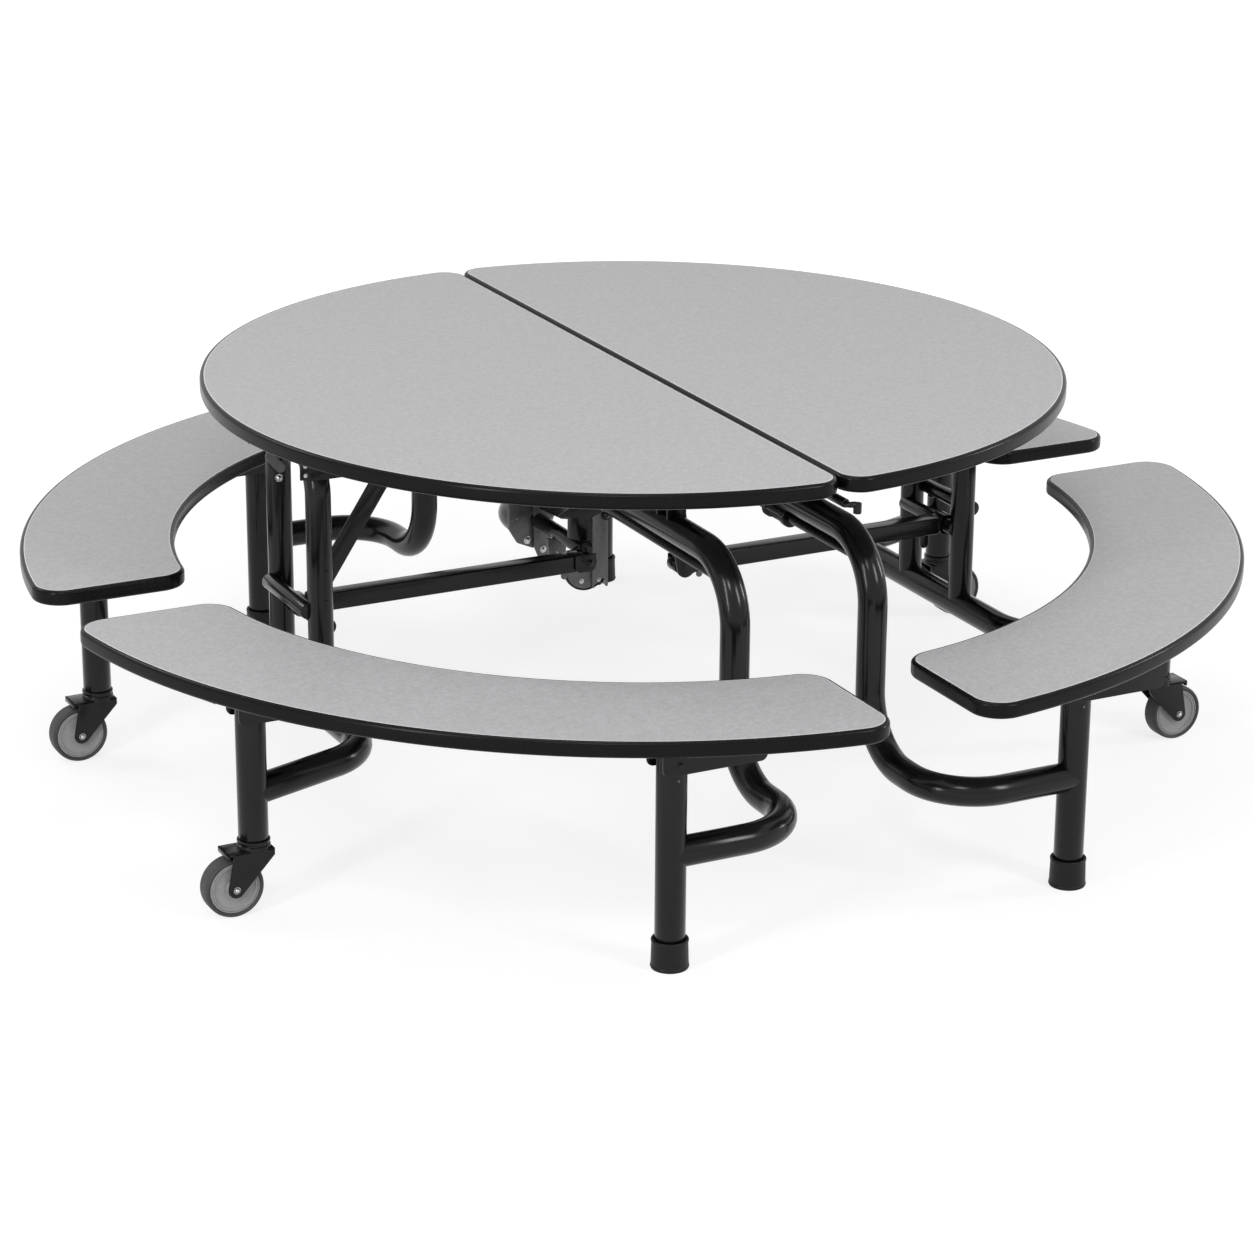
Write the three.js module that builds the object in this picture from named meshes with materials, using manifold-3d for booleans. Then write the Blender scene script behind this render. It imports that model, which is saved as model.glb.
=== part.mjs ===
// A round folding cafeteria table with four curved benches, millimetres, +Z up.
// X runs across the seam, Y along it, and the origin is on the floor under the table's centre.
// Half A lies at x < 0 and half B is the same half turned round: both hang on a centre hanger.
import * as THREE from "three";
import { mergeVertices } from "three/addons/utils/BufferGeometryUtils.js";
import Module from "manifold-3d";

// Tabletop
const TOP_RADIUS = 762;
const TOP_HEIGHT = 725;
const TOP_THICK = 27;
const TOP_CORNER = 44;
const SEAM_GAP = 3;

// Benches
const BENCH_GAP = 54;
const BENCH_WIDTH = 270;
const BENCH_HEIGHT = 432;
const BENCH_THICK = 27;
const BENCH_CORNER = 52;
const BENCH_END = 77;

// Moulded edge band round every board
const EDGE_WIDTH = 7;
const EDGE_ROUND = 5;

// Steel tubes
const MAIN_TUBE = 50;
const POST_TUBE = 44;
const STIFF_TUBE = 20;
const CROSS_TUBE = 28;
const STRUT_OUT = 22;
const STRUT_RISE = 34;
const TUBE_WALL = 2.5;
const MAIN_BEND = 110;
const HOOP_BEND = 68;
const VENT = 12;

// Places of the legs, and of the fold's pivots below the tabletop
const OUTER_INSET = 122;
const INNER_X = 130;
const INNER_INSET = 132;
const GLIDE_X = 375;
const GLIDE_INSET = 206;
const CASTER_Y = 385;
const HOOP_Y = 90;
const PIVOT_DROP = 35;
const BENCH_PIVOT_DROP = 50;
const LOW_RAIL_Z = 210;
const RAIL_LEAN = 85;
const S_FRAME_Z = 195;
const RUN_DROP = 102;
const STIFF_GAP = 1;
const SEAM_PIVOT_CLEAR = 6.5;
const POST_TOP_ABOVE_PIVOT = 30;

// Link bars between the hoops and the hanger
const LINK_Z = 358;
const LINK_OFFSET_X = 15;
const LINK_POST_GAP = 6;
const LINK_PLATE_GAP = 10;
const LINK_SIZE = 32;
const LINK_WALL = 2.5;
const LINK_EYE_WALL = 6;
const HANGER_PIN = 20;

// Pivot bolts, plates and brackets
const PLATE = 6;
const BRACKET_PLATE = 4;
const CASTER_BRACKET_BACK = 30;
const CASTER_BRACKET_REACH = 130;
const GLIDE_BRACKET_BACK = 30;
const GLIDE_BRACKET_REACH = 155;
const BRACKET_CORNER = 12;
const BRACKET_EYE = 18;
const BRACKET_SIDE_GAP = 1;
const BOLT = 12;
const BOLT_HEAD = 20;
const BOLT_HEAD_THICK = 6;
const RING_WALL = 5;
const OUTER_RING = 12;
const OUTER_RING_Y = 10;
const OUTER_SADDLE_BACK = 30;
const OUTER_SADDLE_REACH = 80;
const OUTER_SADDLE_DROP = 32;
const INNER_RING = 30;
const INNER_RING_Y = 400;
const INNER_PIN = 24;
const KNUCKLE = 78;
const KNUCKLE_Y = 240;
const KNUCKLE_WALL = 6;
const SEAM_PIN = 14;
const SEAM_BRACKET_WIDTH = 44;

// Centre hanger
const YOKE_WIDTH = 100;
const YOKE_TALL = 24;
const YOKE_ARM = 10;
const CHANNEL_WIDTH = 32;
const CHANNEL_DEPTH = 34;
const CHANNEL_WALL = 3;
const CHANNEL_SHIFT = 26;
const CHANNEL_BELOW_LINK = 69;
const DISC_RADIUS = 44;
const DISC_SHIFT = 20;
const DISC_DROP = 28;
const LEVER_WIDTH = 72;
const LEVER_SHIFT = 26;
const LEVER_KNEE = 64;
const LEVER_BELOW_LINK = 52;
const HANGER_TUBE_RISE = 6;
const ARM_TOP_WIDTH = 34;
const ARM_TOP_SHIFT = 14;

// Prop brace under each tabletop half
const BRACE_WIDTH = 34;
const BRACE_THICK = 5;
const BRACE_REACH = 190;
const BRACE_FOOT_GAP = 38;
const BRACE_PAD = 46;

// Casters and glides
const WHEEL = 102;
const WHEEL_WIDTH = 34;
const TYRE_THICK = 8;
const TYRE_ROUND = 5;
const HUB_WIDTH = 30;
const HUB_ROUND = 1;
const CASTER_TRAIL = 40;
const FORK_PLATE = 4;
const FORK_SIDE_GAP = 3;
const FORK_EYE = 14;
const CROWN_CLEAR = 9;
const COLLAR = 56;
const COLLAR_TALL = 15;
const STEM_LENGTH = 34;
const AXLE = 10;
const AXLE_NUT = 17;
const CAP_HEIGHT = 50;
const CAP_FLOOR = 12;
const CAP_WALL = 4;
const CAP_FLARE = 2;

// Latch release rod on half B
const LATCH_ROD = 10;
const LATCH_X = 12;
const LATCH_DROP = 21;
const LATCH_INSET = 18;
const LATCH_LENGTH = 364;
const LATCH_CRANK = 16;
const LATCH_BEND = 7;
const LATCH_GUIDE = 24;
const LATCH_GUIDE_INSETS = [104, 314];

// Clearances: FIT between pieces that touch, RUN round a turning pin
const FIT = 0.3;
const RUN = 0.5;

// Fineness of round shapes
const TUBE_SIDES = 10;
const BORE_SIDES = 6;
const ROUND_SIDES = 12;
const WHEEL_SIDES = 18;
const BOLT_SIDES = 8;
const HEX_SIDES = 6;
const BEND_STEPS = 4;
const TOP_ARC_STEPS = 30;
const BENCH_ARC_STEPS = 12;
const CORNER_STEPS = 3;

// Places that follow from the driving sizes
const benchInner = TOP_RADIUS + BENCH_GAP;
const benchOuter = benchInner + BENCH_WIDTH;
const outerX = TOP_RADIUS - OUTER_INSET;
const innerY = TOP_RADIUS - INNER_INSET;
const glideY = benchOuter - GLIDE_INSET;
const topUnder = TOP_HEIGHT - TOP_THICK;
const pivotZ = topUnder - PIVOT_DROP;
const runZ = pivotZ - RUN_DROP;
const benchUnder = BENCH_HEIGHT - BENCH_THICK;
const benchPivotZ = benchUnder - BENCH_PIVOT_DROP;
const postTop = benchPivotZ + POST_TOP_ABOVE_PIVOT;
const frameSpan = outerX - INNER_X;
const casterX = GLIDE_X + frameSpan;
const seamEye = SEAM_PIN / 2 + RUN + KNUCKLE_WALL;
const seamPivotX = INNER_X - MAIN_TUBE / 2 - SEAM_PIVOT_CLEAR - seamEye;
const linkX = outerX - LINK_OFFSET_X;
const linkEndX = seamPivotX - LINK_OFFSET_X;
const linkY = HOOP_Y - POST_TUBE / 2 - LINK_POST_GAP - LINK_SIZE / 2;
const hangerPlateY = linkY + LINK_SIZE / 2 + LINK_PLATE_GAP;
const discX = DISC_SHIFT - linkEndX;
const discZ = LINK_Z - DISC_DROP;
const channelX = discX + CHANNEL_SHIFT;
const casterHeight = WHEEL + CROWN_CLEAR + FORK_PLATE + COLLAR_TALL;
const plateTop = topUnder - FIT;
const plateUnder = plateTop - PLATE;

const laminate = { color: 0xb4b4b6, roughness: 0.55, metalness: 0 };
const edgeBand = { color: 0x101011, roughness: 0.35, metalness: 0 };
const blackSteel = { color: 0x121213, roughness: 0.3, metalness: 0.35 };
const greySteel = { color: 0x5c5d60, roughness: 0.4, metalness: 0.6 };
const blackRubber = { color: 0x141414, roughness: 0.7, metalness: 0 };
const tyreRubber = { color: 0x4a4b4e, roughness: 0.6, metalness: 0 };
const hubPlastic = { color: 0x8a8b8e, roughness: 0.5, metalness: 0 };

const wasm = await Module();
wasm.setup();

// A closed geometry as a solid for joining and cutting.
function solidOf(geometry) {
  const bare = geometry.index ? geometry.toNonIndexed() : geometry.clone();
  bare.deleteAttribute("normal");
  bare.deleteAttribute("uv");
  const merged = mergeVertices(bare);
  return new wasm.Manifold(
    new wasm.Mesh({
      numProp: 3,
      vertProperties: merged.attributes.position.array,
      triVerts: new Uint32Array(merged.index.array),
    }),
  );
}

function geometryOf(solid) {
  const mesh = solid.getMesh();
  const geometry = new THREE.BufferGeometry();
  geometry.setAttribute("position", new THREE.BufferAttribute(mesh.vertProperties, 3));
  geometry.setIndex(new THREE.BufferAttribute(mesh.triVerts, 1));
  geometry.computeVertexNormals();
  return geometry;
}

function join(...geometries) {
  return geometryOf(geometries.map(solidOf).reduce((sum, next) => sum.add(next)));
}

function cut(geometry, ...tools) {
  return geometryOf(tools.map(solidOf).reduce((rest, tool) => rest.subtract(tool), solidOf(geometry)));
}

// The corner radius of a many-sided hole that a round pin of this radius turns in.
function boreRadius(radius, clearance, sides) {
  return (radius + clearance) / Math.cos(Math.PI / sides);
}

function arc(x, y, radius, from, to, steps) {
  const points = [];
  for (let i = 0; i <= steps; i += 1) {
    const angle = from + ((to - from) * i) / steps;
    points.push(new THREE.Vector2(x + radius * Math.cos(angle), y + radius * Math.sin(angle)));
  }
  return points;
}

function circle(radius, sides) {
  return arc(0, 0, radius, 0, 2 * Math.PI, sides).slice(0, -1);
}

function box(x0, x1, y0, y1, z0, z1) {
  const block = new THREE.BoxGeometry(x1 - x0, y1 - y0, z1 - z0);
  return block.translate((x0 + x1) / 2, (y0 + y1) / 2, (z0 + z1) / 2);
}

// A round bar along Y through the point x, z.
function rodY(x, z, radius, y0, y1, sides = ROUND_SIDES) {
  return new THREE.CylinderGeometry(radius, radius, y1 - y0, sides).translate(x, (y0 + y1) / 2, z);
}

// A round bar along Z through the point x, y.
function rodZ(x, y, radius, z0, z1, sides = ROUND_SIDES) {
  const rod = new THREE.CylinderGeometry(radius, radius, z1 - z0, sides).rotateX(Math.PI / 2);
  return rod.translate(x, y, (z0 + z1) / 2);
}

// A flat plate whose outline is given in x and z, filling y0 to y1.
function plateY(points, y0, y1) {
  const shape = new THREE.Shape(points);
  const plate = new THREE.ExtrudeGeometry(shape, { depth: y1 - y0, bevelEnabled: false });
  return plate.rotateX(Math.PI / 2).translate(0, y1, 0);
}

// A tongue that hangs from topZ and ends in a half round about the point x, z.
function tongue(x, z, radius, topZ, halfTop = radius) {
  return [
    new THREE.Vector2(x - halfTop, topZ),
    ...arc(x, z, radius, Math.PI, 2 * Math.PI, ROUND_SIDES / 2),
    new THREE.Vector2(x + halfTop, topZ),
  ];
}

// A path of straight runs and round bends, with one ring at each end of a run and BEND_STEPS along a bend.
class BentPath extends THREE.Curve {
  constructor(corners, bend) {
    super();
    const points = corners.map((corner) => new THREE.Vector3(...corner));
    const legs = points.slice(1).map((point, i) => point.clone().sub(points[i]).normalize());
    this.rings = [{ point: points[0], tangent: legs[0] }];
    for (let i = 1; i < points.length - 1; i += 1) this.addBend(points[i], legs[i - 1], legs[i], bend);
    this.rings.push({ point: points.at(-1), tangent: legs.at(-1) });
  }

  addBend(corner, into, outOf, bend) {
    const angle = into.angleTo(outOf);
    const start = corner.clone().addScaledVector(into, -bend * Math.tan(angle / 2));
    const inward = outOf.clone().addScaledVector(into, -Math.cos(angle)).normalize();
    const centre = start.clone().addScaledVector(inward, bend);
    for (let step = 0; step <= BEND_STEPS; step += 1) {
      const turn = (angle * step) / BEND_STEPS;
      const point = centre.clone().addScaledVector(into, bend * Math.sin(turn));
      point.addScaledVector(inward, -bend * Math.cos(turn));
      const tangent = into.clone().multiplyScalar(Math.cos(turn)).addScaledVector(inward, Math.sin(turn));
      this.rings.push({ point, tangent });
    }
  }

  between(u, key) {
    const place = u * (this.rings.length - 1);
    const i = Math.min(Math.round(place), this.rings.length - 1);
    return this.rings[i][key].clone();
  }

  getPointAt(u) {
    return this.between(u, "point");
  }

  getTangentAt(u) {
    return this.between(u, "tangent");
  }
}

// A tube along a bent path; without a wall it is a solid bar.
function tube(corners, bend, diameter, wall) {
  const path = new BentPath(corners, bend);
  const section = new THREE.Shape(circle(diameter / 2, TUBE_SIDES));
  if (wall) section.holes.push(new THREE.Path(circle(diameter / 2 - wall, BORE_SIDES)));
  return new THREE.ExtrudeGeometry(section, {
    steps: path.rings.length - 1,
    extrudePath: path,
    bevelEnabled: false,
  });
}

// Half of a round top, its straight side at x = -seam, with round corners at both ends of the seam.
function halfRound(radius, seam, corner) {
  const cx = -(seam + corner);
  const cy = Math.sqrt((radius - corner) ** 2 - cx ** 2);
  const lean = Math.atan2(cy, cx);
  return [
    ...arc(cx, cy, corner, 0, lean, CORNER_STEPS),
    ...arc(0, 0, radius, lean, 2 * Math.PI - lean, TOP_ARC_STEPS).slice(1),
    ...arc(cx, -cy, corner, 2 * Math.PI - lean, 2 * Math.PI, CORNER_STEPS).slice(1),
  ];
}

// A bench in the quarter x > 0, y > 0: a ring segment with ends square to X and Y and four round corners.
function benchOutline(inner, outer, end, corner) {
  const reach = end + corner;
  const outX = Math.sqrt((outer - corner) ** 2 - reach ** 2);
  const inX = Math.sqrt((inner + corner) ** 2 - reach ** 2);
  const outLean = Math.atan2(reach, outX);
  const inLean = Math.atan2(reach, inX);
  const quarter = Math.PI / 2;
  return [
    ...arc(outX, reach, corner, -quarter, outLean, CORNER_STEPS),
    ...arc(0, 0, outer, outLean, quarter - outLean, BENCH_ARC_STEPS).slice(1),
    ...arc(reach, outX, corner, quarter - outLean, 2 * quarter, CORNER_STEPS).slice(1),
    ...arc(reach, inX, corner, 2 * quarter, 3 * quarter - inLean, CORNER_STEPS),
    ...arc(0, 0, inner, quarter - inLean, inLean, BENCH_ARC_STEPS).slice(1),
    ...arc(inX, reach, corner, 2 * quarter + inLean, 3 * quarter, CORNER_STEPS).slice(1),
  ];
}

function board(outline, under, thick) {
  const slab = new THREE.ExtrudeGeometry(new THREE.Shape(outline), { depth: thick, bevelEnabled: false });
  return slab.translate(0, 0, under);
}

// The moulded band round a board: a slab with rounded rims and the board's own outline cut out of it.
function band(outline, hole, under, thick) {
  const slab = new THREE.ExtrudeGeometry(new THREE.Shape(outline), {
    depth: thick - 2 * EDGE_ROUND,
    bevelThickness: EDGE_ROUND,
    bevelSize: EDGE_ROUND,
    bevelOffset: -EDGE_ROUND,
    bevelSegments: 1,
  });
  slab.translate(0, 0, under + EDGE_ROUND);
  return cut(slab, board(hole, under - EDGE_ROUND, thick + 2 * EDGE_ROUND));
}

function part(name, geometry, finish) {
  const mesh = new THREE.Mesh(geometry, new THREE.MeshStandardMaterial(finish));
  mesh.name = name;
  return mesh;
}

function tabletop(side) {
  const inset = SEAM_GAP / 2 + EDGE_WIDTH;
  const rim = halfRound(TOP_RADIUS, SEAM_GAP / 2, TOP_CORNER);
  const slab = halfRound(TOP_RADIUS - EDGE_WIDTH, inset, TOP_CORNER - EDGE_WIDTH);
  const hole = halfRound(TOP_RADIUS - EDGE_WIDTH + FIT, inset - FIT, TOP_CORNER - EDGE_WIDTH + FIT);
  return [
    part(`top_board_${side}`, board(slab, topUnder, TOP_THICK), laminate),
    part(`top_edge_${side}`, band(rim, hole, topUnder, TOP_THICK), edgeBand),
  ];
}

function ringRadius(tubeDiameter) {
  return tubeDiameter / 2 + RUN + RING_WALL;
}

// The outline of a cheek that hangs from topZ to bottom between back and front, its lower corners round.
function cheekOutline(back, front, bottom, topZ) {
  const corner = BRACKET_CORNER;
  const z = bottom + corner;
  return [
    new THREE.Vector2(back, topZ),
    ...arc(back + corner, z, corner, Math.PI, 1.5 * Math.PI, CORNER_STEPS),
    ...arc(front - corner, z, corner, 1.5 * Math.PI, 2 * Math.PI, CORNER_STEPS),
    new THREE.Vector2(front, topZ),
  ];
}

// Two rings on a plate under the tabletop, which turn on a frame's top run or on its pins.
function saddle(x, tubeDiameter, length, ringY, ringWidth) {
  const outer = ringRadius(tubeDiameter);
  const reachY = ringY + ringWidth / 2;
  const bore = boreRadius(tubeDiameter / 2, RUN, ROUND_SIDES);
  const ears = [-1, 1].map((way) => {
    const middle = way * ringY;
    const outline = tongue(x, pivotZ, outer, plateUnder + FIT);
    return plateY(outline, middle - ringWidth / 2, middle + ringWidth / 2);
  });
  const plate = box(x - length / 2, x + length / 2, -reachY, reachY, plateUnder, plateTop);
  return cut(join(plate, ...ears), rodY(x, pivotZ, bore, -reachY - PLATE, reachY + PLATE));
}

// The hoop's saddle is a channel whose cheeks hang outside the two posts.
function outerSaddle(side) {
  const rings = saddle(-outerX, POST_TUBE, 2 * ringRadius(POST_TUBE), OUTER_RING_Y, OUTER_RING);
  const inside = HOOP_Y + POST_TUBE / 2 + BRACKET_SIDE_GAP;
  const outside = inside + BRACKET_PLATE;
  const back = -outerX - OUTER_SADDLE_BACK;
  const front = -outerX + OUTER_SADDLE_REACH;
  const outline = cheekOutline(back, front, pivotZ - OUTER_SADDLE_DROP, plateUnder + FIT);
  const cheeks = [-outside, inside].map((from) => plateY(outline, from, from + BRACKET_PLATE));
  const web = box(back, front, -outside, outside, plateUnder, plateTop);
  return part(`outer_saddle_${side}`, join(rings, web, ...cheeks), blackSteel);
}

function innerSaddle(side) {
  const rings = saddle(-INNER_X, INNER_PIN, 2 * ringRadius(MAIN_TUBE), INNER_RING_Y, INNER_RING);
  return part(`inner_saddle_${side}`, rings, blackSteel);
}

// Knuckles under the tabletop's straight side that turn on the hanger's seam pins.
function seamBracket(side) {
  const halfKnuckle = KNUCKLE / 2 - FIT;
  const reachY = KNUCKLE_Y + halfKnuckle;
  const plateFrom = -INNER_X + ringRadius(MAIN_TUBE) + FIT;
  const plate = box(plateFrom, plateFrom + SEAM_BRACKET_WIDTH, -reachY, reachY, plateUnder, plateTop);
  const outline = tongue(-seamPivotX, pivotZ, seamEye, plateUnder + FIT);
  const knuckles = [-1, 1].map((way) => {
    return plateY(outline, way * KNUCKLE_Y - halfKnuckle, way * KNUCKLE_Y + halfKnuckle);
  });
  const bore = boreRadius(SEAM_PIN / 2, RUN, ROUND_SIDES);
  const hole = rodY(-seamPivotX, pivotZ, bore, -reachY - PLATE, reachY + PLATE);
  return part(`seam_bracket_${side}`, cut(join(plate, ...knuckles), hole), blackSteel);
}

// A leg post with the bolt that a bench bracket turns on.
function legPost(x, y, bottom) {
  const post = tube([[x, y, bottom], [x, y, postTop]], 0, MAIN_TUBE, TUBE_WALL);
  const seat = MAIN_TUBE / 2 + BRACKET_SIDE_GAP + BRACKET_PLATE + RUN;
  const bolt = rodY(x, benchPivotZ, BOLT / 2, y - seat - RUN, y + seat + RUN, BOLT_SIDES);
  const heads = [-1, 1].map((way) => {
    const from = y + way * seat - (way < 0 ? BOLT_HEAD_THICK : 0);
    return rodY(x, benchPivotZ, BOLT_HEAD / 2, from, from + BOLT_HEAD_THICK, HEX_SIDES);
  });
  return join(post, bolt, ...heads);
}

// A bent run welded to a leg post at each end: it stops inside their walls, and vents join the hollows.
function weldedFrame(corners, bottom) {
  const ends = [corners[0], corners.at(-1)];
  const radius = MAIN_TUBE / 2 - TUBE_WALL / 2;
  const cores = ends.map(([x, y]) => rodZ(x, y, radius, 0, postTop, TUBE_SIDES));
  const run = cut(tube(corners, MAIN_BEND, MAIN_TUBE, TUBE_WALL), ...cores);
  const legs = ends.map(([x, y]) => legPost(x, y, bottom));
  const vents = ends.map(([x, y, z]) => tube([[x, y, z], [x + MAIN_TUBE, y, z]], 0, VENT));
  return cut(join(run, ...legs), ...vents);
}

function hoop(side) {
  const corners = [
    [-outerX, -HOOP_Y, LOW_RAIL_Z],
    [-outerX, -HOOP_Y, pivotZ],
    [-outerX, HOOP_Y, pivotZ],
    [-outerX, HOOP_Y, LOW_RAIL_Z],
  ];
  const cross = rodY(-linkX, LINK_Z, CROSS_TUBE / 2, -HOOP_Y, HOOP_Y);
  const strut = rodY(-outerX - STRUT_OUT, LINK_Z + STRUT_RISE, CROSS_TUBE / 2, -HOOP_Y, HOOP_Y);
  const railRadius = boreRadius(MAIN_TUBE / 2, FIT, TUBE_SIDES);
  const railReach = HOOP_Y + POST_TUBE;
  const rail = rodY(-outerX, LOW_RAIL_Z, railRadius, -railReach, railReach, TUBE_SIDES);
  const body = join(tube(corners, HOOP_BEND, POST_TUBE, TUBE_WALL), cross, strut);
  return part(`post_hoop_${side}`, cut(body, rail), blackSteel);
}

function lowRail(side) {
  const corners = [
    [-casterX, -CASTER_Y, LOW_RAIL_Z],
    [-outerX, -CASTER_Y + RAIL_LEAN, LOW_RAIL_Z],
    [-outerX, CASTER_Y - RAIL_LEAN, LOW_RAIL_Z],
    [-casterX, CASTER_Y, LOW_RAIL_Z],
  ];
  return part(`low_rail_${side}`, weldedFrame(corners, casterHeight), blackSteel);
}

// A flat brace from the near post to a pad that the tabletop lies on when it is open.
function propBrace(side) {
  const y1 = -HOOP_Y + POST_TUBE / 2 + FIT + BRACE_THICK;
  const padTop = topUnder - FIT;
  const headX = -outerX + BRACE_REACH;
  const foot = LINK_Z + CROSS_TUBE / 2 + BRACE_FOOT_GAP;
  const lean = Math.atan2(padTop - foot, BRACE_REACH);
  const half = BRACE_WIDTH / 2 / Math.sin(lean);
  const outline = [
    new THREE.Vector2(-outerX - half, foot),
    new THREE.Vector2(-outerX + half, foot),
    new THREE.Vector2(headX + half, padTop),
    new THREE.Vector2(headX - half, padTop),
  ];
  const y0 = y1 - BRACE_THICK;
  const flat = plateY(outline, y0, y1);
  const pad = box(headX - half, headX + half, y0, y1 + BRACE_PAD, padTop - BRACE_THICK, padTop);
  return part(`prop_brace_${side}`, join(flat, pad), blackSteel);
}

const sFrameCorners = [
  [-GLIDE_X, -glideY, S_FRAME_Z],
  [-INNER_X, -glideY, S_FRAME_Z],
  [-INNER_X, -innerY, S_FRAME_Z],
  [-INNER_X, -innerY, runZ],
  [-INNER_X, innerY, runZ],
  [-INNER_X, innerY, S_FRAME_Z],
  [-INNER_X, glideY, S_FRAME_Z],
  [-GLIDE_X, glideY, S_FRAME_Z],
];

// Upright lugs on the S-frame's top run, a pair with a pin for each ring of the saddle.
function pivotLugs() {
  const radius = ringRadius(INNER_PIN);
  const inside = INNER_RING / 2 + RUN;
  const core = rodY(-INNER_X, runZ, (MAIN_TUBE - TUBE_WALL) / 2, -innerY, innerY, TUBE_SIDES);
  const outline = [
    ...arc(-INNER_X, pivotZ, radius, 0, Math.PI, ROUND_SIDES / 2),
    new THREE.Vector2(-INNER_X - radius, runZ),
    new THREE.Vector2(-INNER_X + radius, runZ),
  ];
  return [-INNER_RING_Y, INNER_RING_Y].map((y) => {
    const plates = [-inside - PLATE, inside].map((from) => plateY(outline, y + from, y + from + PLATE));
    const pin = rodY(-INNER_X, pivotZ, INNER_PIN / 2, y - inside - FIT, y + inside + FIT);
    return cut(join(pin, ...plates), core);
  });
}

function sFrame(side) {
  const frame = weldedFrame(sFrameCorners, CAP_FLOOR + FIT);
  return part(`s_frame_${side}`, join(frame, ...pivotLugs()), blackSteel);
}

// A second tube under the S-frame's top run, its ends shaped to the insides of the bends.
function stiffener(side) {
  const z = runZ - MAIN_TUBE / 2 - STIFF_GAP - STIFF_TUBE / 2;
  const bar = tube([[-INNER_X, -innerY, z], [-INNER_X, innerY, z]], 0, STIFF_TUBE, TUBE_WALL);
  const bends = tube(sFrameCorners, MAIN_BEND, MAIN_TUBE + 2 * boreRadius(0, FIT, TUBE_SIDES));
  const ends = [-1, 1].map((way) => {
    const from = way * (innerY - MAIN_TUBE / 4);
    const to = way * (innerY + MAIN_TUBE);
    const wide = MAIN_TUBE;
    return box(-INNER_X - wide, -INNER_X + wide, Math.min(from, to), Math.max(from, to), z - wide, z + wide);
  });
  return part(`stiffener_tube_${side}`, cut(bar, bends, ...ends), blackSteel);
}

function glideCap(name, x, y) {
  const socket = boreRadius(MAIN_TUBE / 2, FIT, ROUND_SIDES);
  const rim = socket + CAP_WALL;
  const profile = [
    [0, 0],
    [rim + CAP_FLARE / 2, 0],
    [rim + CAP_FLARE, CAP_FLARE],
    [rim + CAP_FLARE, CAP_FLOOR],
    [rim, CAP_HEIGHT],
    [socket, CAP_HEIGHT],
    [socket, CAP_FLOOR],
    [0, CAP_FLOOR],
  ].map(([r, z]) => new THREE.Vector2(r, z));
  const cap = new THREE.LatheGeometry(profile, ROUND_SIDES).rotateX(Math.PI / 2);
  return part(name, cap.translate(x, y, 0), blackRubber);
}

// A channel under a bench that straddles a leg post, turns on the post's bolt and reaches in under the seat.
function benchBracket(name, x, y, back, front) {
  const inside = MAIN_TUBE / 2 + BRACKET_SIDE_GAP;
  const webTop = benchUnder - FIT;
  const webUnder = webTop - BRACKET_PLATE;
  const outside = inside + BRACKET_PLATE;
  const web = box(x - back, x + front, y - outside, y + outside, webUnder, webTop);
  const outline = cheekOutline(x - back, x + front, benchPivotZ - BRACKET_EYE, webUnder + FIT);
  const cheeks = [-outside, inside].map((from) => plateY(outline, y + from, y + from + BRACKET_PLATE));
  const bore = boreRadius(BOLT / 2, RUN, BOLT_SIDES);
  const hole = rodY(x, benchPivotZ, bore, y - outside - BOLT, y + outside + BOLT, BOLT_SIDES);
  return part(name, cut(join(web, ...cheeks), hole), blackSteel);
}

// One bench: its quarter of the ring, turned to its place, and the brackets on its two posts.
function bench(name, turn, wayY) {
  const rim = benchOutline(benchInner, benchOuter, BENCH_END, BENCH_CORNER);
  const inset = (by) =>
    benchOutline(benchInner + by, benchOuter - by, BENCH_END + by, BENCH_CORNER - by);
  const slab = board(inset(EDGE_WIDTH), benchUnder, BENCH_THICK).rotateZ(turn);
  const edge = band(rim, inset(EDGE_WIDTH - FIT), benchUnder, BENCH_THICK).rotateZ(turn);
  const caster = [-casterX, wayY * CASTER_Y, CASTER_BRACKET_BACK, CASTER_BRACKET_REACH];
  const reaches = [GLIDE_BRACKET_BACK, GLIDE_BRACKET_REACH];
  const glide = [-GLIDE_X, wayY * glideY, ...(wayY < 0 ? reaches : reaches.reverse())];
  return [
    part(`bench_${name}_board`, slab, laminate),
    part(`bench_${name}_edge`, edge, edgeBand),
    benchBracket(`bench_${name}_caster_bracket`, ...caster),
    benchBracket(`bench_${name}_glide_bracket`, ...glide),
  ];
}

// A box-section bar from the hoop's cross tube to a pin on the hanger.
function linkBar(side) {
  const half = LINK_SIZE / 2;
  const y0 = linkY - half;
  const y1 = linkY + half;
  const outerBore = boreRadius(CROSS_TUBE / 2, RUN, ROUND_SIDES);
  const innerBore = boreRadius(HANGER_PIN / 2, RUN, ROUND_SIDES);
  const bar = box(-linkX, -linkEndX, y0, y1, LINK_Z - half, LINK_Z + half);
  const hollow = half - LINK_WALL;
  const inside = box(-linkX, -linkEndX, linkY - hollow, linkY + hollow, LINK_Z - hollow, LINK_Z + hollow);
  const outerEye = rodY(-linkX, LINK_Z, outerBore + LINK_EYE_WALL, y0, y1);
  const innerEye = rodY(-linkEndX, LINK_Z, innerBore + LINK_EYE_WALL, y0, y1);
  const bores = [
    rodY(-linkX, LINK_Z, outerBore, y0 - half, y1 + half),
    rodY(-linkEndX, LINK_Z, innerBore, y0 - half, y1 + half),
  ];
  return part(`link_bar_${side}`, cut(join(bar, outerEye, innerEye), inside, ...bores), blackSteel);
}

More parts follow.
